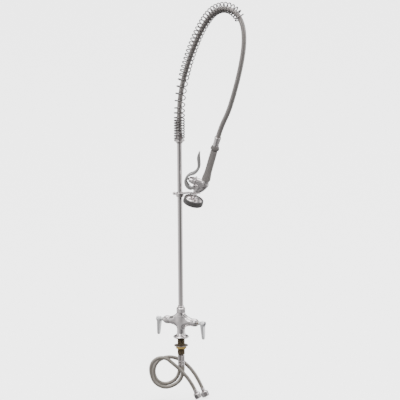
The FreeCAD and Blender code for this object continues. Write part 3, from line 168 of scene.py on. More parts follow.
class FaucetColours(bpy.types.PropertyGroup):
    """Colours of the faucet's finishes and of the stage."""

    chrome: colour_setting("Chrome", (0.79, 0.74, 0.74), "Bright chrome plating")
    satin: colour_setting("Satin metal", (0.36, 0.34, 0.335), "Satin-finished lever and face plate")
    handle: colour_setting("Handle metal", (0.86, 0.85, 0.88), "Light satin handles")
    wire: colour_setting("Spring wire", (0.26, 0.245, 0.245), "Polished spring wire")
    hose: colour_setting("Wound hose", (0.42, 0.39, 0.375), "Wound metal spray hose")
    braid: colour_setting("Braid", (0.42, 0.385, 0.345), "Braided supply hoses")
    grip: colour_setting("Grip", (0.27, 0.247, 0.236), "Moulded grip")
    # The collar's colour is the grip's colour times 0.62: the grip's own plastic with painted shade.
    collar: colour_setting("Collar", (0.1674, 0.15314, 0.14632), "Moulded collar above the grip")
    bumper: colour_setting("Bumper", (0.095, 0.089, 0.089), "Rubber bumper of the spray head")
    rubber: colour_setting("Rubber", (0.03, 0.03, 0.03), "Gasket and washers")
    brass: colour_setting("Brass", (0.72, 0.50, 0.17), "Lock nut")
    thread: colour_setting("Threaded shank", (0.20, 0.155, 0.10), "Dull brass of the threaded shank")
    plate: colour_setting("Washer plate", (0.52, 0.46, 0.42), "Plain plate of the large washer")
    cold: colour_setting("Cold index", (0.028, 0.036, 0.052), "Cap that marks the cold handle")
    hot: colour_setting("Hot index", (0.16, 0.020, 0.022), "Cap that marks the hot handle")
    floor: colour_setting("Floor", (0.93, 0.93, 0.93), "Stage floor")


def sizes():
    return bpy.context.scene.faucet_sizes


# ---- Finishes ----
# Each finish: colour setting, metal, roughness and its spread, wear, grain, relief, clear coat.
FINISHES = {
    "bright_chrome": ("chrome", 1.0, 0.035, 0.05, 0.06, 60, 0.006, 0),
    "cast_chrome": ("chrome", 1.0, 0.11, 0.08, 0.12, 40, 0.03, 0),
    "satin_metal": ("satin", 0.9, 0.30, 0.15, 0.12, 140, 0.05, 0),
    "handle_metal": ("handle", 0.4, 0.42, 0.14, 0.10, 160, 0.05, 0),
    "grip_plastic": ("grip", 0.0, 0.48, 0.14, 0.16, 260, 0.16, 0),
    # The collar's finish is the grip plastic in a colour darkened as painted shade.
    "collar_plastic": ("collar", 0.0, 0.40, 0.14, 0.18, 240, 0.12, 0),
    "black_rubber": ("rubber", 0.0, 0.6, 0.2, 0.3, 220, 0.15, 0),
    "bumper_rubber": ("bumper", 0.0, 0.38, 0.16, 0.25, 200, 0.10, 0),
    "plain_brass": ("brass", 1.0, 0.26, 0.18, 0.25, 120, 0.05, 0),
    "dull_thread": ("thread", 0.8, 0.42, 0.22, 0.45, 150, 0.10, 0),
    "washer_plate": ("plate", 0.85, 0.34, 0.2, 0.2, 120, 0.05, 0),
    "spring_wire": ("wire", 1.0, 0.14, 0.10, 0.15, 90, 0.02, 0),
    "wound_hose": ("hose", 0.85, 0.36, 0.16, 0.22, 150, 0.05, 0),
    "braided_wire": ("braid", 0.65, 0.42, 0.18, 0.25, 260, 0.10, 0),
    "cold_enamel": ("cold", 0.0, 0.18, 0.1, 0.15, 90, 0.01, 0.6),
    "hot_enamel": ("hot", 0.0, 0.18, 0.1, 0.15, 90, 0.01, 0.6),
    "stage_floor": ("floor", 0.0, 0.75, 0.1, 0.02, 6, 0.0, 0),
}
RELIEF_DEPTH = 0.0008
SLOT_FINISHES = {
    "chrome": "bright_chrome", "rubber": "black_rubber", "bumper": "bumper_rubber",
    "dull_brass": "dull_thread", "washer_steel": "washer_plate", "brass": "plain_brass",
    "grip": "grip_plastic", "satin_metal": "satin_metal", "handle_metal": "handle_metal",
    "hose_metal": "wound_hose", "spring_steel": "spring_wire", "braid": "braided_wire",
    "blue_cap": "cold_enamel", "red_cap": "hot_enamel",
}


def add_node(tree, kind, inputs, **settings):
    """New shader node: its settings first, then each input set to a value or linked to an output."""
    node = tree.nodes.new("ShaderNode" + kind)
    for key, value in settings.items():
        setattr(node, key, value)
    for socket, value in inputs.items():
        if isinstance(value, bpy.types.NodeSocket):
            tree.links.new(value, node.inputs[socket])
        else:
            node.inputs[socket].default_value = value
    return node


def finish(name):
    """Metal, rubber or plastic with cloudy tone, uneven gloss and a fine relief.

    Tone is the base colour times one minus wear times a broad noise; roughness runs between its
    value and its value plus spread with a second noise; the relief is a third noise."""
    if name in bpy.data.materials:
        return bpy.data.materials[name]
    colour, metallic, roughness, spread, wear, grain, relief, coat = FINISHES[name]
    base = getattr(bpy.context.scene.faucet_colours, colour)
    material = bpy.data.materials.new(name)
    material.use_nodes = True
    tree = material.node_tree
    shader = tree.nodes["Principled BSDF"]
    shader.inputs["Metallic"].default_value = metallic
    shader.inputs["Coat Weight"].default_value = coat
    place = add_node(tree, "TexCoord", {}).outputs["Object"]
    broad, uneven, fine = (
        add_node(tree, "TexNoise", {"Vector": place, "Scale": scale, "Detail": detail}).outputs["Fac"]
        for scale, detail in ((grain * 0.12, 4), (grain * 0.5, 6), (grain * 4, 8))
    )
    worn = [channel * (1 - wear) for channel in base]
    tone = mixed(tree, broad, (*base, 1), (*worn, 1))
    gloss = add_node(tree, "MapRange", {"To Min": roughness, "To Max": roughness + spread, "Value": uneven})
    bump = add_node(tree, "Bump", {"Strength": relief, "Distance": RELIEF_DEPTH, "Height": fine})
    for output, socket in ((tone, "Base Color"), (gloss.outputs["Result"], "Roughness"),
                           (bump.outputs["Normal"], "Normal")):
        tree.links.new(output, shader.inputs[socket])
    return material


# ---- Making a mesh ----
SLOT_OF = {part["node"]: part["material_slot"] for part in frame["record"]["subparts"]}


def settle(name, points, faces, body, node=None, like=None, material=None, uv=None, sharp=35.0, weld=True):
    """Puts computed points and faces into a mesh object in the row frame.

    Doubles at seams and poles are merged and the faces turned outwards; edges sharper than the
    given angle stay crisp and the rest is smooth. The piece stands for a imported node, or takes
    the material slot of the node that it is like, and has its slot's finish if none is named."""
    slot = SLOT_OF[node or like]
    mesh = bpy.data.meshes.new(name)
    mesh.from_pydata(points.tolist(), [], faces)
    if uv is not None:
        layer = mesh.uv_layers.new(name="UVMap")
        loops = np.empty(len(mesh.loops), np.int32)
        mesh.loops.foreach_get("vertex_index", loops)
        layer.data.foreach_set("uv", uv[loops].astype(np.float32).ravel())
    shell = bmesh.new()
    shell.from_mesh(mesh)
    if weld:
        bmesh.ops.remove_doubles(shell, verts=shell.verts, dist=1e-6)
        bmesh.ops.dissolve_degenerate(shell, edges=shell.edges, dist=1e-7)
    bmesh.ops.recalc_face_normals(shell, faces=shell.faces)
    shell.to_mesh(mesh)
    shell.free()
    mesh.polygons.foreach_set("use_smooth", np.ones(len(mesh.polygons), bool))
    mesh.set_sharp_from_angle(angle=math.radians(sharp))
    mesh.update()
    piece = bpy.data.objects.new(name, mesh)
    bpy.context.scene.collection.objects.link(piece)
    piece.data.materials.append(finish(material or SLOT_FINISHES[slot]))
    if body is not None:
        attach(piece, body)
    if node:
        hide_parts(node)
    return piece


def grid_faces(rows, around, closed=False):
    """Quads between rings whose point (row, column) has index row times around plus column; a
    closed grid also joins its last ring to its first."""
    row, column = np.meshgrid(np.arange(rows if closed else rows - 1), np.arange(around), indexing="ij")
    row, next_row, next_column = row * around, (row + 1) % rows * around, (column + 1) % around
    corners = [row + column, next_row + column, next_row + next_column, row + next_column]
    return np.stack(corners, -1).reshape(-1, 4).tolist()


def softened(corners, closed, steps=4):
    """Outline with its corners rounded.

    Each corner is (radius, height) or (radius, height, round). Its point becomes a short parabola
    that starts and ends the rounding's length away along both runs: with t from 0 to 1 it is
    start (1-t)^2 + corner 2t(1-t) + end t^2."""
    points = np.array([corner[:2] for corner in corners], float)
    rounds = np.array([corner[2] if len(corner) == 3 else 0.35 for corner in corners], float)
    before = np.roll(points, 1, 0) - points
    after = np.roll(points, -1, 0) - points
    length_before = np.linalg.norm(before, axis=1)
    length_after = np.linalg.norm(after, axis=1)
    reach = np.minimum(rounds, 0.48 * np.minimum(length_before, length_after))
    if not closed:
        reach[0] = reach[-1] = 0
    start = points + before * (reach / np.maximum(length_before, 1e-9))[:, None]
    end = points + after * (reach / np.maximum(length_after, 1e-9))[:, None]
    t = np.linspace(0, 1, steps + 1)[None, :, None]
    curves = start[:, None] * (1 - t) ** 2 + points[:, None] * 2 * t * (1 - t) + end[:, None] * t**2
    outline = curves.reshape(-1, 2)
    keep = np.ones(len(outline), bool)
    keep[1:] = np.linalg.norm(np.diff(outline, axis=0), axis=1) > 1e-6
    return outline[keep]


def ring_angles(around):
    return np.linspace(0, TAU, around, endpoint=False)


def helix_wave(run, pitch, angle):
    """Cosine that winds along a run: one at its ridges, where run over pitch less angle over a
    whole turn is whole, and zero between them."""
    return 0.5 + 0.5 * np.cos(TAU * (run / pitch - angle / TAU))


def ringed(name, radius, level, place, *look, bores=(), closed=True, **more):
    """Surface of rings round the local z axis: at level z and angle a the point is at
    (r cos a, r sin a, z), where r is the radius given for that level and angle. The bores are the
    radii of one more ring at the first level and one at the last."""
    around = radius.shape[1]
    if bores:
        first, last = (np.full((1, around), bore) for bore in bores)
        radius = np.concatenate([first, radius, last])
        level = np.concatenate([level[:1], level, level[-1:]])
    angle = ring_angles(around)
    points = np.stack([radius * np.cos(angle), radius * np.sin(angle), np.repeat(level[:, None], around, 1)],
                      -1)
    faces = grid_faces(len(level), around, closed)
    return settle(name, placed(points.reshape(-1, 3), place), faces, *look, **more)


def turned(name, corners, place, *look, closed=True, around=None, **more):
    """Lathe surface: a point of the outline at radius r and height z goes to
    (r cos a, r sin a, z) as the angle a runs once round."""
    outline = softened(corners, closed)
    radius = np.repeat(outline[:, :1], around or sizes().around, 1)
    return ringed(name, radius, outline[:, 1], place, *look, closed=closed, **more)


HEXAGON_AROUND = 96


def hexagon(apothem, limit, soft):
    """Radius of a six-sided piece: the soft minimum of the flat's distance over the cosine of the
    angle from that flat, and of the limit at each level."""
    folded = (ring_angles(HEXAGON_AROUND) + math.pi / 6) % (math.pi / 3) - math.pi / 6
    flat, limit = (apothem / np.cos(folded))[None, :], limit[:, None]
    least = limit.min()
    return least - soft * np.log(np.exp((least - flat) / soft) + np.exp((least - limit) / soft))


def hexagon_nut(name, flats, height, bore, place, *look, dome):
    """Hexagon nut whose corners are cut back near both ends: the limit there runs from a little
    less than the apothem to the corner's radius over a share of the height, the dome."""
    apothem = flats / 2
    corner, end = apothem / math.cos(math.pi / 6), apothem * 0.955
    level = np.linspace(0, 1, 26) ** 1.6 * height / 2
    level = np.concatenate([level, height - level[::-1]])
    edge = np.minimum(level, height - level)
    cone = end + (corner - end) * np.clip(edge / (height * dome), 0, 1.6) ** 0.75
    return ringed(name, hexagon(apothem, cone, 0.12), level, place, *look, bores=(bore, bore))


# ---- Castings: a surface where a blended distance is zero ----
def blend(first, second, width):
    """Soft minimum of two distances: where they are within the width of each other, the lesser one
    less a quarter of the width times the square of how near they are."""
    near = np.clip(1 - np.abs(first - second) / width, 0, 1)
    return np.minimum(first, second) - near * near * width * 0.25


def melted(shape, *others):
    """The shape blended with each of the others in turn, over the width that is given with it."""
    for other, width in others:
        shape = blend(shape, other, width)
    return shape


def carve(first, second, width):
    """The first shape with the second taken out of it, the new edge softened over the width."""
    return -blend(-first, second, width)


def rounded(gaps, rounding):
    """Distance to what lies behind all of several faces, from the distances past each of them,
    with its edges rounded."""
    gaps = gaps + rounding
    return np.linalg.norm(np.maximum(gaps, 0), axis=1) + np.minimum(gaps.max(1), 0) - rounding


def rod_distance(points, start, end, start_radius, end_radius=None, rounding=0.6):
    """Distance to a straight rod with flat ends, its radius running evenly from end to end and its
    end edges rounded."""
    start, end = np.array([start, end], float)
    end_radius = end_radius or start_radius
    way = end - start
    length = np.linalg.norm(way)
    way = way / length
    along = (points - start) @ way
    across = np.linalg.norm(points - start - along[:, None] * way, axis=1)
    share = np.clip(along / length, 0, 1)
    side = across - (start_radius + (end_radius - start_radius) * share)
    return rounded(np.stack([side, np.abs(along - length / 2) - length / 2], 1), rounding)


def ball_distance(points, middle, radii):
    """Distance to an oval ball, to first order: its scaled distance times its least radius."""
    return (np.linalg.norm((points - middle) / radii, axis=1) - 1) * min(radii)


def slab_distance(points, middle, half, rounding):
    """Distance to a box with rounded edges."""
    return rounded(np.abs(points - middle) - half, rounding)


def path_distance(points, path, radii):
    """Distance to a round bar that follows a path of straight runs, its radius running evenly
    along each of them."""
    nearest = np.full(len(points), np.inf)
    for start, end, first, last in zip(path, path[1:], radii, radii[1:]):
        start, end = np.array([start, end], float)
        way = end - start
        share = np.clip((points - start) @ way / (way @ way), 0, 1)
        away = np.linalg.norm(points - start - share[:, None] * way, axis=1)
        nearest = np.minimum(nearest, away - (first + (last - first) * share))
    return nearest


NEWTON_STEPS = 3
LONGEST_STEP = 0.4
LEAST_SLOPE = 0.05
SLOPE_STEP = 0.02


def casting(name, distance, low, high, place, *look, cell=None, **more):
    """Closed surface where the distance is zero, worked out on a grid of cells.

    Each cell that the surface passes through gets one point, at the mean of the places where the
    surface crosses the cell's edges; each grid edge that it crosses gets one face between the four
    cells round it. Every point then takes Newton steps along the distance's slope, none of them
    longer than a share of the cell."""
    cell = cell or sizes().cast_cell / MM
    low, high = np.asarray(low, float) - 1.5 * cell, np.asarray(high, float) + 1.5 * cell
    axes = [np.arange(a, b + cell, cell) for a, b in zip(low, high)]
    lattice = np.stack(np.meshgrid(*axes, indexing="ij"), -1)
    value = distance(lattice.reshape(-1, 3)).reshape(lattice.shape[:3])
    total, crossings = np.zeros([len(axis) - 1 for axis in axes] + [4]), []
    for axis in range(3):
        along = np.moveaxis(value, axis, 0)
        a, b = along[:-1], along[1:]
        crossed = (a < 0) != (b < 0)
        spot = np.moveaxis(lattice, axis, 0)[:-1].copy()
        spot[..., axis] += np.where(crossed, a / np.where(crossed, a - b, 1), 0) * cell
        spot = np.where(crossed[..., None], np.concatenate([spot, np.ones((*crossed.shape, 1))], -1), 0)
        # The fourth number of each sum counts the crossings round the cell.
        sums = np.moveaxis(total, axis, 0)
        for rows in (slice(None, -1), slice(1, None)):
            for columns in (slice(None, -1), slice(1, None)):
                sums += spot[:, rows, columns]
        crossings.append((crossed, a < 0))
    mixed_cells = total[..., 3] > 0
    number = np.full(mixed_cells.shape, -1)
    number[mixed_cells] = np.arange(mixed_cells.sum())
    points = total[mixed_cells][:, :3] / total[mixed_cells][:, 3:]
    faces = []
    for axis, (crossed, inside_first) in enumerate(crossings):
        cells = np.moveaxis(number, axis, 0)
        edge, row, column = (np.argwhere(crossed[:, 1:-1, 1:-1]) + (0, 1, 1)).T
        ring = np.stack([cells[edge, row - i, column - j] for i, j in ((1, 1), (0, 1), (0, 0), (1, 0))], 1)
        flip = inside_first[edge, row, column] ^ (axis == 1)
        faces += np.where(flip[:, None], ring, ring[:, ::-1]).tolist()
    for _ in range(NEWTON_STEPS):
        here = distance(points)
        slope = np.stack([
            (distance(points + offset) - distance(points - offset)) / (2 * SLOPE_STEP)
            for offset in np.eye(3) * SLOPE_STEP
        ], 1)
        move = slope * (here / np.maximum((slope * slope).sum(1), LEAST_SLOPE))[:, None]
        far = np.maximum(np.linalg.norm(move, axis=1) / (LONGEST_STEP * cell), 1)
        points = points - move / far[:, None]
    return settle(name, placed(points, place), faces, *look, sharp=50.0, **more)


# ---- Flexible lines ----
def running_length(points):
    """Length along a line of points from its first point to each of them."""
    return np.concatenate([[0], np.cumsum(np.linalg.norm(np.diff(points, axis=0), axis=1))])


def spline_points(route, spacing):
    """Points read from the route's own NURBS line: a curve of order three through the route's
    ends, pulled towards each of its points in turn, spaced evenly along its length."""
    curve = bpy.data.curves.new("route", "CURVE")
    curve.dimensions = "3D"
    spline = curve.splines.new("NURBS")
    spline.points.add(len(route) - 1)
    spline.points.foreach_set("co", np.column_stack([route, np.ones(len(route))]).ravel())
    spline.order_u = 3
    spline.use_endpoint_u = True
    curve.resolution_u = 48
    holder = bpy.data.objects.new("route", curve)
    bpy.context.scene.collection.objects.link(holder)
    bpy.context.view_layer.update()
    line = bpy.data.meshes.new_from_object(holder.evaluated_get(bpy.context.evaluated_depsgraph_get()))
    read = np.empty(len(line.vertices) * 3)
    line.vertices.foreach_get("co", read)
    read = read.reshape(-1, 3)
    bpy.data.objects.remove(holder)
    bpy.data.meshes.remove(line)
    run = running_length(read)
    count = max(2, int(round(run[-1] / spacing)))
    place = np.linspace(0, run[-1], count + 1)
    return np.stack([np.interp(place, run, read[:, k]) for k in range(3)], 1), place


def frames_along(line, start_side):
    """Side and up directions carried along a line: at each step the side loses its part along the
    new tangent, so it never twists."""
    tangent = np.gradient(line, axis=0)
    tangent /= np.linalg.norm(tangent, axis=1)[:, None]
    side = np.empty_like(tangent)
    current = unit(start_side)
    for index, way in enumerate(tangent):
        current = unit(current - way * (current @ way))
        side[index] = current
    return side, np.cross(tangent, side)


def tube(name, line, run, radius_at, around, start_side, *look):
    """Tube round a line: at distance s and angle a the point lies at the line plus
    radius(s, a) times (side cos a + up sin a). Both ends are drawn in to a point and closed."""
    side, up = frames_along(line, start_side)
    angle = ring_angles(around)
    radius = np.broadcast_to(radius_at(run[:, None], angle[None, :]), (len(line), around))
    ring = side[:, None] * np.cos(angle)[None, :, None] + up[:, None] * np.sin(angle)[None, :, None]
    points = np.concatenate([(line[:, None] + ring * radius[..., None]).reshape(-1, 3), line[:1], line[-1:]])
    head, last = len(line) * around, (len(line) - 1) * around
    column = np.arange(around)
    following = (column + 1) % around
    quads = np.array(grid_faces(len(line), around))[:, ::-1]
    start_cap = np.stack([np.full(around, head), following, column], 1)[::-1]
    end_cap = np.stack([np.full(around, head + 1), last + column, last + following], 1)
    uv = np.concatenate([
        np.stack(np.meshgrid(run, angle / TAU, indexing="ij"), -1).reshape(-1, 2), [[0, 0], [run[-1], 0]]
    ])
    faces = quads.tolist() + start_cap.tolist() + end_cap.tolist()
    return settle(name, points, faces, *look, uv=uv, sharp=60.0, weld=False)


def hang_points(points):
    """Points given as reach, side and height in the upright plane, in millimetres."""
    return placed(points, HANG_FRAME)


# The spray hose and the spring are led by these points: reach from the riser's axis, side and
# height. Inside the arch the hose leans on the spring's inner side.
HOSE_ROUTE = [
    (0, 0, 744.1), (0, 0, 800), (6, 0, 863), (22, 0, 928), (45.5, 0, 994), (75, 0, 1060), (112, 0, 1127),
    (157, 0, 1180.5), (211, 0, 1201), (259, 0, 1186), (284, 0, 1144), (286.5, 0, 1082), (274, 0, 1015),
    (256, 1, 952), (234, 4, 890), (209.5, 7, 830),
]
# The hose bends past the spring's open end.
SPRING_LINE = [
    (0, 0, 705.1), (0, 0, 800), (6, 0, 862), (21, 0, 928), (43, 0, 995), (71, 0, 1062), (108, 0, 1130),
    (153, 0, 1184.5), (209, 0, 1205.8), (257, 0, 1189.5), (283, 0, 1146), (289, 0, 1090),
]
CONNECTOR_BASE = 195.1
CONNECTOR_TOP = 230.1
SUPPLY_ROUTES = {
    "cold": [(6, -4, -132), (-12, -5, -163), (-55, -7, -180), (-94, -11, -160), (-107.5, -15, -118),
             (-103, -18, -86), (-81.5, -20, -67), (-53, -21, -67), (-29.5, -22, -87), (2, -23, -115),
             (33, -22, -155), (45, -21, -181)],
    "hot": [(-7, 4, -132), (-26, 6, -158), (-58, 9, -170), (-87, 12, -157), (-98, 15, -121), (-84, 17, -88),
            (-50, 19, -72), (-8, 20, -80), (28, 19, -110), (56, 16, -150), (71, 13, -184)],
}
# The spring's windings from its foot to its open end: length of the stretch and its pitch.
WINDINGS = [(74, 9), (36, 17), (112, 26), (226, 15.5), (199, 13.5)]


def hose_route():
    """The spray hose's route from the riser's top down into its connector."""
    inlet = [(0, 0, CONNECTOR_TOP + 38), (0, 0, CONNECTOR_TOP)]
    return np.concatenate([hang_points(HOSE_ROUTE), placed(inlet, GRIP_FRAME)])


# ---- Operators ----
class FAUCET_OT_stage(bpy.types.Operator):
    """Pale floor, soft lights and the camera"""

    bl_idname = "faucet.stage"
    bl_label = "Stage"

    def execute(self, context):
        self.floor(context.scene)
        self.room(context.scene)
        self.lamps(context.scene)
        self.camera(context.scene)
        return {"FINISHED"}

    def floor(self, scene):
        """Pale square just under the lowest point, which lights nothing and isn't mirrored."""
        half, level = 14.0, float(CAD_BOX[0][2]) - 0.0005
        mesh = bpy.data.meshes.new("floor")
        mesh.from_pydata([(-half, -half, level), (half, -half, level), (half, half, level),
                          (-half, half, level)],
                         [], [(0, 1, 2, 3)])
        floor = bpy.data.objects.new("floor", mesh)
        scene.collection.objects.link(floor)
        mesh.materials.append(finish("stage_floor"))
        glow = mesh.materials[0].node_tree.nodes["Principled BSDF"]
        glow.inputs["Emission Color"].default_value = (1, 1, 1, 1)
        glow.inputs["Emission Strength"].default_value = FLOOR_GLOW
        floor.visible_glossy = False
        floor.visible_diffuse = False

    def room(self, scene):
        """Room of greys that the metal mirrors, while the camera itself sees plain white."""
        world = bpy.data.worlds.new("soft_studio")
        scene.world = world
        world.use_nodes = True
        tree = world.node_tree
        place = add_node(tree, "TexCoord", {}).outputs["Generated"]
        x, y, z = add_node(tree, "SeparateXYZ", {"Vector": place}).outputs
        turn = add_node(tree, "Math", {0: y, 1: x}, operation="ARCTAN2").outputs["Value"]
        share, lift = (
            add_node(tree, "MapRange", {"From Min": -most, "From Max": most,
                                        "Value": value}).outputs["Result"]
            for value, most in ((turn, math.pi), (z, 1))
        )
        walls = grey_ramp(tree, WALLS, share)
        room = mixed(tree, grey_ramp(tree, LEVEL, lift), walls, grey_ramp(tree, RISE, lift))
        dimmed = mixed(tree, 1.0, room, grey_ramp(tree, BEHIND, y), blend_type="MULTIPLY")
        seen = add_node(tree, "LightPath", {}).outputs["Is Camera Ray"]
        shown = mixed(tree, seen, dimmed, (BACKDROP, BACKDROP, BACKDROP, 1))
        background = tree.nodes["Background"]
        background.inputs["Strength"].default_value = 1.0
        tree.links.new(shown, background.inputs["Color"])

    def lamps(self, scene):
        """A wide sun from above and area lamps that face the faucet's middle."""
        for name, kind, spot, energy, settings in LAMPS:
            light = bpy.data.lights.new(name, kind)
            light.energy = energy
            for key, value in settings.items():
                setattr(light, key, value)
            lamp = bpy.data.objects.new(name, light)
            lamp.location = spot
            lamp.rotation_euler = SUN_TURN if kind == "SUN" else facing(LAMP_TARGET - np.array(spot))
            scene.collection.objects.link(lamp)

    def camera(self, scene):
        """Camera with a long lens, looking down a little: the field is the width in metres that
        it takes in at the distance of its target."""
        data = bpy.data.cameras.new("camera")
        distance, field = 60.0, 1.380
        data.sensor_width = 36
        data.lens = 36 * distance / field
        down, roll = math.radians(14), math.radians(0.49)
        camera = bpy.data.objects.new("camera", data)
        back = np.array([0, -math.cos(down), math.sin(down)])
        camera.location = CAMERA_TARGET + back * distance
        camera.rotation_euler = (math.pi / 2 - down, 0, 0)
        camera.rotation_euler.rotate_axis("Z", -roll)
        scene.collection.objects.link(camera)
        scene.camera = camera


FLOOR_GLOW = 2.6
BACKDROP = 3
# Brightness of the room that the metal mirrors. Round: 0 and 1 are left, 0.25 is in front, 0.5
# right and 0.75 behind. Upwards: 0 is straight down, 0.5 level and 1 straight up. The level ramp
# says where the ramp for upwards takes over, and the last one dims the room by the y direction.
WALLS = [
    (0.0, 1.1), (0.06, 0.9), (0.14, 0.65), (0.19, 0.48), (0.225, 0.20), (0.25, 0.12), (0.275, 0.18),
    (0.34, 0.26), (0.40, 0.42), (0.45, 0.80), (0.50, 1.3), (0.56, 2.6), (0.66, 2.8), (0.75, 2.4), (0.86, 2.0),
    (0.95, 1.5),
]
RISE = [
    (0.0, 0.12), (0.12, 0.50), (0.20, 0.05), (0.30, 0.70), (0.40, 0.06), (0.50, 0.04), (0.57, 0.06),
    (0.62, 1.3), (0.72, 2.4), (0.78, 0.06), (0.85, 0.05), (0.91, 1.3), (1.0, 0.7),
]
LEVEL = [(0.0, 1.0), (0.28, 0.8), (0.38, 0.05), (0.62, 0.05), (0.74, 0.7), (1.0, 1.0)]
BEHIND = [(0.0, 1.0), (0.50, 0.9), (0.76, 0.20), (1.0, 0.03)]
CAMERA_TARGET = np.array([0.0693, 0.0, 0.4885])
LAMP_TARGET = np.array([0.05, 0, 0.5])
SUN_TURN = (math.radians(-12), math.radians(-10), 0)
LAMPS = [
    ("sky_light", "SUN", (0, 0, 5), 1.0, {"angle": math.radians(50)}),
    ("key_light", "AREA", (-2.6, -3.2, 3.4), 90, {"size": 2.2}),
    ("fill_light", "AREA", (3.4, -2.4, 1.6), 40, {"size": 2.6}),
    ("top_light", "AREA", (0.4, 1.8, 6.2), 260, {"size": 5.0}),
]


def grey_ramp(tree, stops, value):
    """Colour of a ramp of greys, from a list of positions and brightnesses, at a value."""
    node = add_node(tree, "ValToRGB", {"Fac": value})
    ramp = node.color_ramp
    for index, (position, grey) in enumerate(stops):
        element = ramp.elements[index] if index < 2 else ramp.elements.new(position)
        element.position = position
        element.color = (grey, grey, grey, 1)
    return node.outputs["Color"]


def mixed(tree, factor, first, second, **settings):
    """Colour between the first and the second by the factor."""
    inputs = {"Factor": factor, "A": first, "B": second}
    return add_node(tree, "Mix", inputs, data_type="RGBA", **settings).outputs["Result"]


def facing(direction):
    """Turn that points a lamp's own -Z along a direction."""
    return Vector(direction).to_track_quat("-Z", "Y").to_euler()


class FAUCET_OT_deck_fixing(bpy.types.Operator):
    """Flange, gasket, threaded shank, washer and lock nut"""

    bl_idname = "faucet.deck_fixing"
    bl_label = "Deck fixing"

    def execute(self, context):
        lock_nut_foot = -38.6
        turned("deck_gasket_ring", [(13.2, 0.0), (25.8, 0.0), (25.8, 1.5), (13.2, 1.5)], UPRIGHT, "base",
               "deck_gasket")
        turned("deck_flange_dome", [
            (13.2, 1.5), (26.6, 1.5, 0.5), (27.2, 2.6, 0.8), (26.6, 4.6, 1.6), (23.6, 6.9, 3), (20.4, 8.3, 2),
            (18.3, 8.9, 1), (13.2, 8.95, 0.2),
        ], UPRIGHT, "base", "deck_flange")
        turned("shank_washer_plate", [(12.9, -29.5), (24.5, -29.5, 0.6), (24.5, -27.0, 0.6), (12.9, -27.0)],
               UPRIGHT, "base", "shank_washer")
        hexagon_nut("lock_nut_brass", 36.0, 9.0, 12.9, shifted(UPRIGHT, z=lock_nut_foot), "base",
                    "lock_nut", dome=0.3)
        self.shank()
        return {"FINISHED"}

    def shank(self):
        """Threaded tube: the radius is the outside radius less the thread's depth times the dip
        of a helix wave, fading out at the foot."""
        top, foot, outer, bore, chamfer = 8.6, -60.0, 12.8, 10.9, 1.2
        pitch, depth = sizes().thread_pitch / MM, sizes().thread_depth / MM
        level = np.linspace(foot, top, int((top - foot) / pitch * 9))
        groove = 1 - helix_wave(level[:, None], pitch, ring_angles(48))
        fade = np.clip((level - foot) / 1.5, 0, 1)[:, None]
        radius = outer - depth * groove * fade - chamfer * (1 - fade)
        ringed("threaded_shank", radius, level, UPRIGHT, "base", "shank", bores=(bore, bore), sharp=60.0)


class FAUCET_OT_mixing_body(bpy.types.Operator):
    """Cast body with its two arms, shoulders and outlet"""

    bl_idname = "faucet.mixing_body"
    bl_label = "Mixing body"

    def execute(self, context):
        arm, top = ARM_HEIGHT / MM, 98.9

        def distance(p):
            column = rod_distance(p, (0, 0, 9.1), (0, 0, 76), 14.2, 14.0)
            outlet = rod_distance(p, (0, 0, 60), (0, 0, top), 12.8, 12.1)
            tube_part = rod_distance(p, (-47, 0, arm), (47, 0, arm), 12.3)
            foot = rod_distance(p, (0, 0, 9.1), (0, 0, 12.2), 17.3, 15.6)
            left, right = (
                path_distance(p, [(0, 0, arm + 26), (end, 0, arm + 2)], [10.0, 9.5]) for end in (-34, 34)
            )
            low = path_distance(p, [(-30, 0, arm - 0.5), (0, 0, arm - 16), (30, 0, arm - 0.5)],
                                [10.5, 10.5, 10.5])
            beads = np.minimum(rod_distance(p, (43.2, 0, arm), (47, 0, arm), 13.4),
                               rod_distance(p, (-47, 0, arm), (-43.2, 0, arm), 13.4))
            shape = melted(column, (outlet, 4), (tube_part, 9), (np.minimum(left, right), 9), (low, 8),
                           (foot, 5), (beads, 1.5))
            return np.maximum(shape, p[:, 2] - top)

        casting("body_casting", distance, (-48, -18, 8), (48, 18, 100), BODY_FRAME, "base",
                "faucet_body", material="cast_chrome")
        return {"FINISHED"}


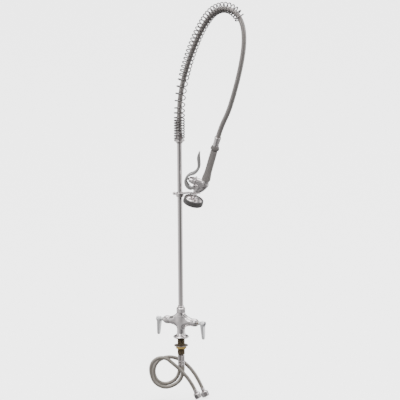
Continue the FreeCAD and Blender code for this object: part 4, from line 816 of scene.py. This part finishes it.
class FAUCET_OT_handles(bpy.types.Operator):
    """Bonnets, lever handles and index caps on both sides"""

    bl_idname = "faucet.handles"
    bl_label = "Handles"

    def execute(self, context):
        for side, place in ARM_FRAMES.items():
            turned(f"{side}_bonnet_dome", [
                (9.7, 47.1), (13.3, 47.1, 0.5), (13.8, 47.8, 0.6), (13.8, 56.5, 3), (12.8, 60.5, 3),
                (10.6, 64.0, 2.5), (9.3, 65.8, 0.8), (8.2, 67.1, 0.8), (4.4, 67.1), (4.4, 50.0), (9.7, 50.0),
            ], place, "base", f"{side}_bonnet")
            self.handle(side, place)
            turned(f"{side}_index_disc", [(0, 0), (7.1, 0, 0.2), (7.1, 1.3, 0.5), (6.0, 1.8, 0.8), (0, 2.2)],
                   shifted(place, z=92.7), f"{side}_lever", f"{side}_index_cap", closed=False)
        return {"FINISHED"}

    def handle(self, side, place):
        """Round hub with a flat blade that grows thinner towards its round tip, a recess for the
        index cap and a bore for the stem."""
        edge = 2.6

        def distance(p):
            skirt = rod_distance(p, (0, 0, 69.1), (0, 0, 80.5), 6.3)
            hub = rod_distance(p, (0, 0, 78.6), (0, 0, 94.4), 8.4, rounding=2.0)
            share = np.clip((p[:, 0] - 4) / 52, 0, 1)
            half_wide = 9.9 + (6.8 - 9.9) * share
            half_thick = 6.2 + (4.0 - 6.2) * share
            wide = np.abs(p[:, 1]) - half_wide
            thick = np.abs(p[:, 2] - 84.5 - 3.0 * share) - half_thick
            tip = np.hypot(np.maximum(p[:, 0] - 49.5, 0), p[:, 1]) - 6.8 - 50 * (p[:, 0] < 49.5)
            blade = rounded(np.stack([wide, thick, np.maximum(1 - edge - p[:, 0], tip)], 1), edge)
            recess = rod_distance(p, (0, 0, 92.5), (0, 0, 99), 7.25, rounding=0.1)
            stem = rod_distance(p, (0, 0, 60), (0, 0, 84), 4.05, rounding=0.1)
            return carve(carve(melted(skirt, (hub, 2), (blade, 3)), recess, 0.4), stem, 0.4)

        casting(f"{side}_lever_handle", distance, (-10, -12, 68), (57, 12, 96), place, f"{side}_lever",
                f"{side}_handle", cell=0.6)


class FAUCET_OT_riser(bpy.types.Operator):
    """Swivel nut, riser collar and tube, spring retainer, hose nut and ferrule"""

    bl_idname = "faucet.riser"
    bl_label = "Riser"

    def execute(self, context):
        nut_foot, collar_foot, retainer_foot, hose_nut_foot, ferrule_foot = 88.8, 108.4, 692.0, 712.1, 730.1
        level = np.linspace(0, 18.5, 44)
        dome = np.interp(level, [0, 1.2, 3.5, 11.5, 14.5, 16.6, 17.8, 18.5],
                         [14.0, 15.6, 17.4, 17.4, 16.2, 14.3, 12.6, 11.2])
        ringed("swivel_nut_crown", hexagon(15.25, dome, 0.35), level, shifted(UPRIGHT, z=nut_foot), "base",
               "swivel_nut", bores=(12.4, 10.8))
        turned("riser_collar_ring", [
            (8.7, 0.1), (11.0, 0.1, 0.5), (11.1, 2.6, 1.2), (10.2, 4.9, 1.2), (8.7, 4.95),
        ], shifted(UPRIGHT, z=collar_foot), "riser", "riser_collar")
        turned("riser_tube", [(6.3, 102.8), (8.55, 102.8), (8.55, 711.9), (6.3, 711.9)], UPRIGHT, "riser",
               "riser_pipe", around=96)
        turned("retainer_flange", [
            (8.7, 0.0), (11.2, 0.0, 0.6), (12.0, 6.8, 0.8), (17.8, 7.0, 0.5), (18.6, 7.9, 0.6),
            (18.6, 10.9, 0.8), (14.6, 11.0, 0.5), (14.5, 18.6, 1.0), (13.2, 20.0, 1.0), (8.7, 20.0),
        ], shifted(UPRIGHT, z=retainer_foot), "riser", "spring_retainer")
        hexagon_nut("hose_end_nut", 21.0, 18.0, 6.4, shifted(UPRIGHT, z=hose_nut_foot), "riser", "hose_nut",
                    dome=0.12)
        turned("hose_end_ferrule", [
            (6.4, 0), (10.1, 0, 0.4), (10.2, 3, 0.6), (9.6, 3.8, 0.6), (10.2, 4.6, 0.6), (10.2, 12.4, 0.8),
            (9.4, 13.8, 0.5), (6.4, 13.8),
        ], shifted(UPRIGHT, z=ferrule_foot), "riser", "hose_ferrule")
        return {"FINISHED"}


class FAUCET_OT_hook(bpy.types.Operator):
    """Clamp, arm and fork of the finger hook, and its ball-ended screw"""

    bl_idname = "faucet.hook"
    bl_label = "Finger hook"

    def execute(self, context):
        # The neck's ball lies up the hanging valve's axis and rests on both edges of the slot.
        valve_reach, valve_height, valve_lean = 68.4, 522.5, math.radians(19)
        ball_height, ball_radius = 9, 10.9
        clamp, lean, half_thick = 509.0, math.radians(3), 2.5
        outer, gap, throat, tip = 13.4, 8.8, 5.5, 8.0
        reach = valve_reach + ball_height * math.sin(valve_lean)
        height = valve_height + ball_height * math.cos(valve_lean)
        rest = math.sqrt(ball_radius**2 - gap**2)
        along = np.array([math.cos(lean), 0, math.sin(lean)])
        rise = np.array([-math.sin(lean), 0, math.cos(lean)])
        middle = np.array([reach, 0, height]) - rise * (rest + half_thick)
        root = middle + along * (-throat - gap - 3.7)

        def distance(p):
            local = p - middle
            x, y, z = local @ along, local[:, 1], local @ rise
            back = -throat - gap - 7.36
            plate = np.maximum(np.hypot(np.minimum(x - (back + outer), 0), y) - outer, x - tip)
            slot = np.hypot(np.minimum(x + throat, 0), y) - gap
            fork = rounded(np.stack([np.maximum(plate, -slot), np.abs(z) - half_thick], 1), 1.2)
            arm_line = [(10.5, 0, 512.3), (18.2, 0, 516.3), (root[0] - 14, 0, 521.3), tuple(root)]
            arm = path_distance(p, arm_line, [3.9, 3.8, 3.6, 3.4])
            ring = rod_distance(p, (0, 0, clamp - 7.4), (0, 0, clamp + 7.4), 13.1, rounding=1.2)
            boss = rod_distance(p, (0, 0, clamp), (-16.1, 0, clamp), 5.5, 5.4, rounding=0.8)
            hole = np.hypot(p[:, 0], p[:, 1]) - 8.62
            return np.maximum(melted(ring, (boss, 1.5), (arm, 3.0), (fork, 3.0)), -hole)

        casting("finger_hook_casting", distance, (-18, -15, 500), (reach + 12, 15, 528), HANG_FRAME, "riser",
                "finger_hook", cell=0.7, material="cast_chrome")
        back_frame = frame_at(shifted(HANG_FRAME, z=clamp)[:3, 3], (0, 0, 1), -HANG_FRAME[:3, 0])
        turned("hook_ball_screw", [
            (0, 8.7), (2.45, 8.7, 0.3), (2.45, 19.6, 0.5), (3.0, 20.4, 0.8), (5.2, 22.8, 1.8),
            (5.55, 25.4, 1.8), (4.2, 29.2, 1.8), (1.4, 30.55, 0.8), (0, 30.6),
        ], back_frame, "riser", "hook_screw", closed=False)
        return {"FINISHED"}


class FAUCET_OT_spring(bpy.types.Operator):
    """Overhead spring, wound on a line of its own"""

    bl_idname = "faucet.spring"
    bl_label = "Overhead spring"

    def execute(self, context):
        """A point of the wire lies at the spring's line plus the spring's radius times
        (side cos t + up sin t), where t grows by one turn for each pitch along the line."""
        line, run = spline_points(hang_points(SPRING_LINE), 1.0 * MM)
        ends = np.cumsum([0] + [stretch for stretch, _ in WINDINGS]) * MM
        turns = np.cumsum([0] + [stretch / pitch for stretch, pitch in WINDINGS])
        turn = np.linspace(0, turns[-1], int(turns[-1] * 40))
        spot = np.interp(turn, turns, ends)
        side, up = frames_along(line, HANG_FRAME[:3, 1])
        centre, side, up = (np.stack([np.interp(spot, run, data[:, k]) for k in range(3)], 1)
                            for data in (line, side, up))
        swing = side * np.cos(TAU * turn)[:, None] + up * np.sin(TAU * turn)[:, None]
        wire_line = centre + sizes().spring_radius * swing
        tube("overhead_spring_wire", wire_line, running_length(wire_line),
             lambda s, a: sizes().spring_wire, 10, side[0], "riser", "overhead_spring")
        return {"FINISHED"}


class FAUCET_OT_spray_hose(bpy.types.Operator):
    """Wound metal hose from the riser's top to the spray valve"""

    bl_idname = "faucet.spray_hose"
    bl_label = "Spray hose"

    def execute(self, context):
        """The radius dips between windings: it is the outside radius less the groove's depth
        times the cube of a helix wave."""
        route = hose_route()
        pitch, groove, outer = sizes().hose_pitch, sizes().hose_groove, sizes().hose_radius
        line, run = spline_points(route, pitch / 8)

        def radius(s, a):
            wave = helix_wave(s, pitch, a)
            return outer - groove * wave**3 - 0.0002 * (1 - wave)

        piece = tube("spray_hose_winding", line, run, radius, 36, HANG_FRAME[:3, 1], None, "spray_hose")
        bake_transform(piece)
        return {"FINISHED"}


class FAUCET_OT_grip(bpy.types.Operator):
    """Grip, its end collar and the hose connector"""

    bl_idname = "faucet.grip"
    bl_label = "Grip"

    def execute(self, context):
        turned("grip_sleeve", [
            (7.5, 60), (13.6, 60, 0.5), (15.0, 61.5, 1.2), (15.2, 64, 3), (14.8, 72, 8), (13.0, 88, 10),
            (12.4, 98, 8), (12.2, 173, 2), (11.6, 176.5, 1.5), (9.6, 178, 0.8), (7.5, 178),
        ], GRIP_FRAME, "spray_valve", "grip")
        # The end collar is the grip's plastic, darkened as painted shade.
        turned("grip_end_collar", [
            (7.5, 181.0), (13.8, 181.0, 0.6), (15.3, 182.4, 1.2), (15.3, 187.0, 2), (14.0, 191.4, 3),
            (11.9, 194.9, 0.8), (5.5, 195.0), (5.5, 192.1), (7.5, 192.1),
        ], GRIP_FRAME, "spray_valve", "end_collar", material="collar_plastic")
        turned("hose_connector_sleeve", [
            (5.4, 0), (10.6, 0, 0.4), (10.7, 9.5, 0.8), (9.8, 12, 0.8),
            (10.7, 14.3, 0.8), (10.7, 27, 0.6), (11.7, 28, 0.8),
            (11.8, 33.6, 0.8), (10.8, 35, 0.8), (5.4, 35),
        ], shifted(GRIP_FRAME, z=CONNECTOR_BASE), "spray_valve", "hose_connector")
        return {"FINISHED"}


# Ovals of the valve body's wall by height: height, middle, half long and half wide.
BELLY = [(4.9, 8.8, 12.9, 19.5, 26.7, 35, 44.5), (2.2, 4.0, 5.9, 8.6, 10.85, 12.3, 13.0),
         (9.2, 11.9, 14.25, 17.0, 19.0, 20.6, 21.5), (5.9, 6.9, 7.9, 9.2, 10.2, 11.0, 11.4)]


class FAUCET_OT_valve(bpy.types.Operator):
    """Cast valve body, its bonnet nut and the return spring"""

    bl_idname = "faucet.valve"
    bl_label = "Spray valve"

    def execute(self, context):
        level = CHAMBER_HEIGHT
        pivot_x, pivot_z = LEVER_PIVOT

        def distance(p):
            chamber = rod_distance(p, (-9.9, 0, level), (GRIP_OFFSET, 0, level), 13.1, rounding=0.8)
            elbow = ball_distance(p, (GRIP_OFFSET, 0, level), (13.1, 13.1, 13.1))
            socket = rod_distance(p, (GRIP_OFFSET, 0, level), (GRIP_OFFSET, 0, 59.8), 12.3, rounding=0.8)
            middle, long_half, wide_half = (np.interp(p[:, 2], BELLY[0], row) for row in BELLY[1:])
            oval = (np.hypot((p[:, 0] - middle) / long_half, p[:, 1] / wide_half) - 1) * 8
            belly = np.maximum(np.maximum(oval, p[:, 2] - level), 4.9 - p[:, 2])
            neck_ball = ball_distance(p, (0, 0, 9), (10.45, 10.45, 10.45))
            neck = rod_distance(p, (0, 0, -18.9), (0, 0, 9), 6.45)
            ear_line = [(pivot_x, 0, pivot_z), (-1, 0, 20), (0, 0, 30)]
            ear = path_distance(p * (1, 0, 1), ear_line, [5.1, 6.5, 6.0])
            lugs = np.maximum(ear, np.abs(np.abs(p[:, 1]) - 6.32) - 1.48)
            shape = melted(chamber, (elbow, 2), (socket, 3), (belly, 4), (neck_ball, 3), (neck, 3),
                           (lugs, 1.6))
            room = slab_distance(p, (-13.6, 0, 19), (6.4, 4.75, 11), 0.3)
            pin = np.hypot(p[:, 0] - pivot_x, p[:, 2] - pivot_z) - 2.05
            return carve(carve(shape, room, 0.3), pin, 0.3)

        casting("valve_casting", distance, (-19, -15, -20), (36, 15, 61), VALVE_FRAME, "spray_valve",
                "valve_body", cell=0.7, material="cast_chrome")
        nose = -35.1
        turned("valve_bonnet_nut", [
            (4.5, 0), (7.7, 0, 0.4), (8.8, 1.2, 0.8), (10.6, 6, 3), (11.8, 11, 2),
            (12.8, 12.7, 0.6), (12.8, 20, 0.3), (16.2, 20, 0.5), (17.0, 21, 0.6),
            (17.0, 24, 0.6), (16.2, 25, 0.5), (6.4, 25), (6.4, 6),
            (4.5, 6),
        ], shifted(CHAMBER_FRAME, z=nose), "spray_valve", "valve_bonnet")
        self.return_spring(-25.52, 3.22)
        return {"FINISHED"}

    def return_spring(self, low, high):
        """Wire wound round the plunger: it turns seven times while it runs from low to high along the chamber."""
        share = np.linspace(0, 1, 360)
        radius, turn = 4.5, 7 * TAU * share
        coil = np.stack([radius * np.cos(turn), radius * np.sin(turn), low + (high - low) * share], 1)
        line = placed(coil, CHAMBER_FRAME)
        piece = tube("return_spring_wire", line, running_length(line), lambda s, a: 0.6 * MM, 8,
                     CHAMBER_FRAME[:3, 2], None, "return_spring")
        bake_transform(piece)


def smooth_through(points, count):
    """Cubic Hermite curve through points, evenly spaced: between neighbours p and q at distance h
    it is the cubic with their values and with slopes taken across both of their neighbours."""
    knots = running_length(points)
    slopes = np.gradient(points, knots, axis=0)
    place = np.linspace(0, knots[-1], count)
    index = np.clip(np.searchsorted(knots, place, side="right") - 1, 0, len(knots) - 2)
    gap = (knots[index + 1] - knots[index])[:, None]
    t = (place - knots[index])[:, None] / gap
    curve = ((2 * t**3 - 3 * t**2 + 1) * points[index] + (t**3 - 2 * t**2 + t) * gap * slopes[index]
             + (3 * t**2 - 2 * t**3) * points[index + 1] + (t**3 - t**2) * gap * slopes[index + 1])
    return curve, place


# The lever's side view from its pivot to its tip: x, z and half its depth.
LEVER_LINE = [
    (-12.3, 19, 4.6), (-21.5, 13.5, 5.8), (-34, 19.5, 6.2), (-44.4, 33, 4.4), (-45.0, 48, 3.5),
    (-37, 62.5, 4.2), (-23.5, 74, 4.9), (-15.5, 89, 4.8), (-14.5, 102.5, 4.7), (-18, 116, 4.7),
    (-24.5, 135.5, 4.5), (-27, 158, 1.6),
]


class FAUCET_OT_lever(bpy.types.Operator):
    """Squeeze lever pressed as a channel, with its solid heel"""

    bl_idname = "faucet.lever"
    bl_label = "Squeeze lever"

    def execute(self, context):
        """Channel carried along a curve: at each place the section is a U that opens inwards, its
        web along the outer edge. Its floor rises to the open edge at both ends of the hollow."""
        pivot_x, pivot_z = LEVER_PIVOT
        line, place = smooth_through(np.array(LEVER_LINE), 170)
        share = place / place[-1]
        spot, deep = line[:, :2], line[:, 2]
        tangent = np.gradient(spot, axis=0)
        tangent /= np.linalg.norm(tangent, axis=1)[:, None]
        inward = np.stack([tangent[:, 1], -tangent[:, 0]], 1)
        wide = np.interp(spot[:, 1], [50, 68, 92, 134, 159.5], [8.2, 7.6, 5.9, 8.9, 8.5])
        wide = np.minimum(wide, np.interp(place, [0, 9, 20], [4.65, 4.65, 8.2]))
        wide = np.convolve(np.pad(wide, 8, mode="edge"), np.ones(17) / 17, "valid")
        left = np.clip((1 - share) * place[-1] / 8.0, 0, 1)
        wide = wide * np.maximum(np.sqrt(left * (2 - left)), 0.15)
        wall = 2.0
        hollow = np.clip((share - 0.12) / 0.03, 0, 1) * np.clip((0.96 - share) / 0.03, 0, 1)
        hollow = hollow * hollow * (3 - 2 * hollow)
        bed = deep - (2 * deep - wall) * hollow
        side = np.maximum(wide - wall, 0.2 * wide)
        limit = np.minimum(0.48 * (deep - bed), 0.9)
        web, lip, inner_lip = np.minimum(2.6, 0.45 * wide), np.full_like(wide, 0.45), np.minimum(0.45, limit)
        # Corners of the U: depth, side, rounding, and the ways along the outline before and after.
        corners = [
            (-deep, -wide, web, (1, 0), (0, 1)),
            (-deep, wide, web, (0, -1), (1, 0)),
            (deep, wide, lip, (-1, 0), (0, -1)),
            (deep, side, inner_lip, (0, 1), (-1, 0)),
            (bed, side, limit, (1, 0), (0, -1)),
            (bed, -side, limit, (0, 1), (1, 0)),
            (deep, -side, inner_lip, (-1, 0), (0, -1)),
            (deep, -wide, lip, (0, 1), (-1, 0)),
        ]
        t = np.linspace(0, 1, 6)
        depths, sides = [], []
        for depth, across, rounding, before, after in corners:
            reach_before = rounding[:, None] * (1 - t) ** 2
            reach_after = rounding[:, None] * t**2
            depths.append(depth[:, None] + before[0] * reach_before + after[0] * reach_after)
            sides.append(across[:, None] + before[1] * reach_before + after[1] * reach_after)
        depth, across = np.concatenate(depths, 1), np.concatenate(sides, 1)
        points = np.stack([
            spot[:, None, 0] + inward[:, None, 0] * depth, across,
            spot[:, None, 1] + inward[:, None, 1] * depth
        ], -1)
        around = points.shape[1]
        first, last = (np.full((1, around, 3), (x, 0, z)) for x, z in spot[[0, -1]])
        rows = np.concatenate([first, points, last])
        faces = grid_faces(len(rows), around)
        settle("squeeze_lever_strip", placed(rows.reshape(-1, 3), VALVE_FRAME), faces, "trigger",
               "squeeze_lever")
        heel = frame_at(shifted(VALVE_FRAME, pivot_x, 0, pivot_z)[:3, 3], VALVE_FRAME[:3, 0],
                        VALVE_FRAME[:3, 1])
        turned("squeeze_lever_heel", [(2.08, -4.65), (4.5, -4.65), (4.5, 4.65), (2.08, 4.65)], heel,
               "trigger", like="squeeze_lever")
        return {"FINISHED"}


class FAUCET_OT_spray_head(bpy.types.Operator):
    """Chromed dome and rubber bumper of the spray head"""

    bl_idname = "faucet.spray_head"
    bl_label = "Spray head"

    def execute(self, context):
        dome_foot, bumper_foot = -31.7, -40.2
        turned("spray_dome", [
            (6.6, 13.5), (16, 12.6, 6), (25.0, 9.4, 1), (25.0, 0, 0.3),
            (29.7, 0, 0.3), (29.7, 10.6, 0.8), (21, 15.6, 8), (12.5, 17.6, 3),
            (10.4, 18.4, 1), (9.2, 20.4, 0.8), (6.6, 20.45),
        ], shifted(VALVE_FRAME, z=dome_foot), "spray_valve", "spray_head_shell")
        turned("bumper_tyre", [
            (29.8, 1), (25.9, 1, 0.2), (25.9, 0, 0.3), (32.0, 0, 1.5),
            (34.6, 1.0, 1.6), (35.2, 3.4, 1.5), (35.2, 10.2, 0.4),
            (34.1, 10.9, 0.3), (34.1, 12.4, 0.3), (34.9, 13.1, 0.4),
            (34.9, 16.6, 1.5), (34.2, 19.2, 1.6), (31.8, 20, 1.4), (29.8, 20),
        ], shifted(VALVE_FRAME, z=bumper_foot), "spray_valve", "bumper_ring")
        return {"FINISHED"}


class FAUCET_OT_supply(bpy.types.Operator):
    """Braided supply hoses with their crimped tails, ends and coupling nuts"""

    bl_idname = "faucet.supply"
    bl_label = "Supply hoses"

    def execute(self, context):
        tail_offset, tail_foot = 6.4, -104
        for side, direction in (("cold", 1), ("hot", -1)):
            spot = ARM * direction * tail_offset * MM
            tail = frame_at((spot[0], spot[1], tail_foot * MM), ARM, (0, 0, 1))
            turned(f"{side}_tail_crimp", [
                (2.6, 0), (5.7, 0, 0.3), (6.2, 1.0, 0.4), (6.2, 9.2, 0.4), (5.6, 10.4, 0.4), (6.2, 11.8, 0.4),
                (6.2, 18.5, 0.4), (5.6, 20, 0.4), (6.2, 21.8, 0.4), (6.2, 40.4, 0.6), (4.15, 42, 0.5),
                (4.15, 133.9), (2.6, 133.9),
            ], tail, "base", f"{side}_hose_tail", around=48)
            start = tail[:3, 3] - np.array([0, 0, 0.1 * MM])
            route = np.concatenate([[start], np.array(SUPPLY_ROUTES[side], float) * MM])
            way = unit(route[-1] - route[-2])
            end = frame_at(route[-1], (0, 0, 1), way)
            turned(f"{side}_end_crimp", [
                (2.6, 0.1), (6.4, 0.1, 0.3), (6.9, 0.9, 0.4), (6.9, 5, 0.4), (6.3, 6, 0.4), (6.9, 7, 0.4),
                (6.9, 12.8, 0.8), (4.6, 14.0, 0.4), (4.6, 20.2), (8.9, 20.2), (8.9, 22.2), (2.6, 22.2),
            ], end, "base", f"{side}_hose_end", around=48)
            self.coupling(side, end)
            self.hose(side, route)
        return {"FINISHED"}

    def coupling(self, side, end):
        """Deep hexagon nut, open at its mouth: outside as a hexagon under a cone, inside a plain
        wall with a fine thread."""
        level = np.linspace(0, 19, 40)
        cone = np.interp(level, [0, 0.8, 3.2, 17.6, 18.6, 19], [9.9, 11.0, 13.9, 13.9, 12.2, 11.6])
        depth = np.linspace(19, 6, 66)
        groove = 1 - helix_wave(depth[:, None], 1.8, ring_angles(HEXAGON_AROUND))
        radius = np.concatenate([hexagon(12.0, cone, 0.25), 9.75 + 0.42 * groove])
        ringed(f"{side}_coupling", radius, np.concatenate([level, depth]), shifted(end, z=14.1),
               f"{side}_coupling", f"{side}_coupling_nut", bores=(4.67, 4.67))

    def hose(self, side, route):
        """Braid: the radius rises where either of two strand families, wound opposite ways, is on
        top, as the larger of the two rounded waves."""
        outer, depth = sizes().supply_radius, sizes().braid_depth
        line, run = spline_points(route, 0.9 * MM)
        strands, lay = 10, 22 * MM

        def radius(s, a):
            right = np.abs(np.sin((strands * a + TAU * strands * s / lay) / 2))
            left = np.abs(np.sin((strands * a - TAU * strands * s / lay) / 2))
            return outer - depth * (1 - np.maximum(right, left) ** 2)

        piece = tube(f"{side}_braid", line, run, radius, 40, (1, 0, 0), "base", f"{side}_supply_hose")


class FAUCET_OT_kept_nodes(bpy.types.Operator):
    """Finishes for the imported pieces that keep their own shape"""

    bl_idname = "faucet.kept_nodes"
    bl_label = "Kept pieces"

    def execute(self, context):
        for name, node in frame["nodes"].items():
            if node.hide_render:
                continue
            node.data.materials.clear()
            node.data.materials.append(finish(SLOT_FINISHES[SLOT_OF[name]]))
        return {"FINISHED"}


PIECES = (
    FAUCET_OT_stage, FAUCET_OT_deck_fixing, FAUCET_OT_mixing_body, FAUCET_OT_handles, FAUCET_OT_riser,
    FAUCET_OT_hook, FAUCET_OT_spring, FAUCET_OT_spray_hose, FAUCET_OT_grip, FAUCET_OT_valve, FAUCET_OT_lever,
    FAUCET_OT_spray_head, FAUCET_OT_supply, FAUCET_OT_kept_nodes,
)


class FAUCET_PT_panel(bpy.types.Panel):
    """Lists the faucet's sizes, colours and pieces"""

    bl_idname = "FAUCET_PT_panel"
    bl_label = "Pre rinse faucet"
    bl_space_type = "VIEW_3D"
    bl_region_type = "UI"
    bl_category = "Faucet"

    def draw(self, context):
        layout = self.layout
        for settings in (context.scene.faucet_sizes, context.scene.faucet_colours):
            box = layout.box()
            for name in settings.__annotations__:
                box.prop(settings, name)
        for piece in PIECES:
            layout.operator(piece.bl_idname)


def register():
    for cls in (FaucetSizes, FaucetColours, *PIECES, FAUCET_PT_panel):
        bpy.utils.register_class(cls)
    bpy.types.Scene.faucet_sizes = bpy.props.PointerProperty(type=FaucetSizes)
    bpy.types.Scene.faucet_colours = bpy.props.PointerProperty(type=FaucetColours)


def unregister():
    del bpy.types.Scene.faucet_colours
    del bpy.types.Scene.faucet_sizes
    for cls in reversed((FaucetSizes, FaucetColours, *PIECES, FAUCET_PT_panel)):
        bpy.utils.unregister_class(cls)


def main():
    register()
    for piece in PIECES:
        group, name = piece.bl_idname.split(".")
        getattr(getattr(bpy.ops, group), name)()


if __name__ == "__main__":
    main()
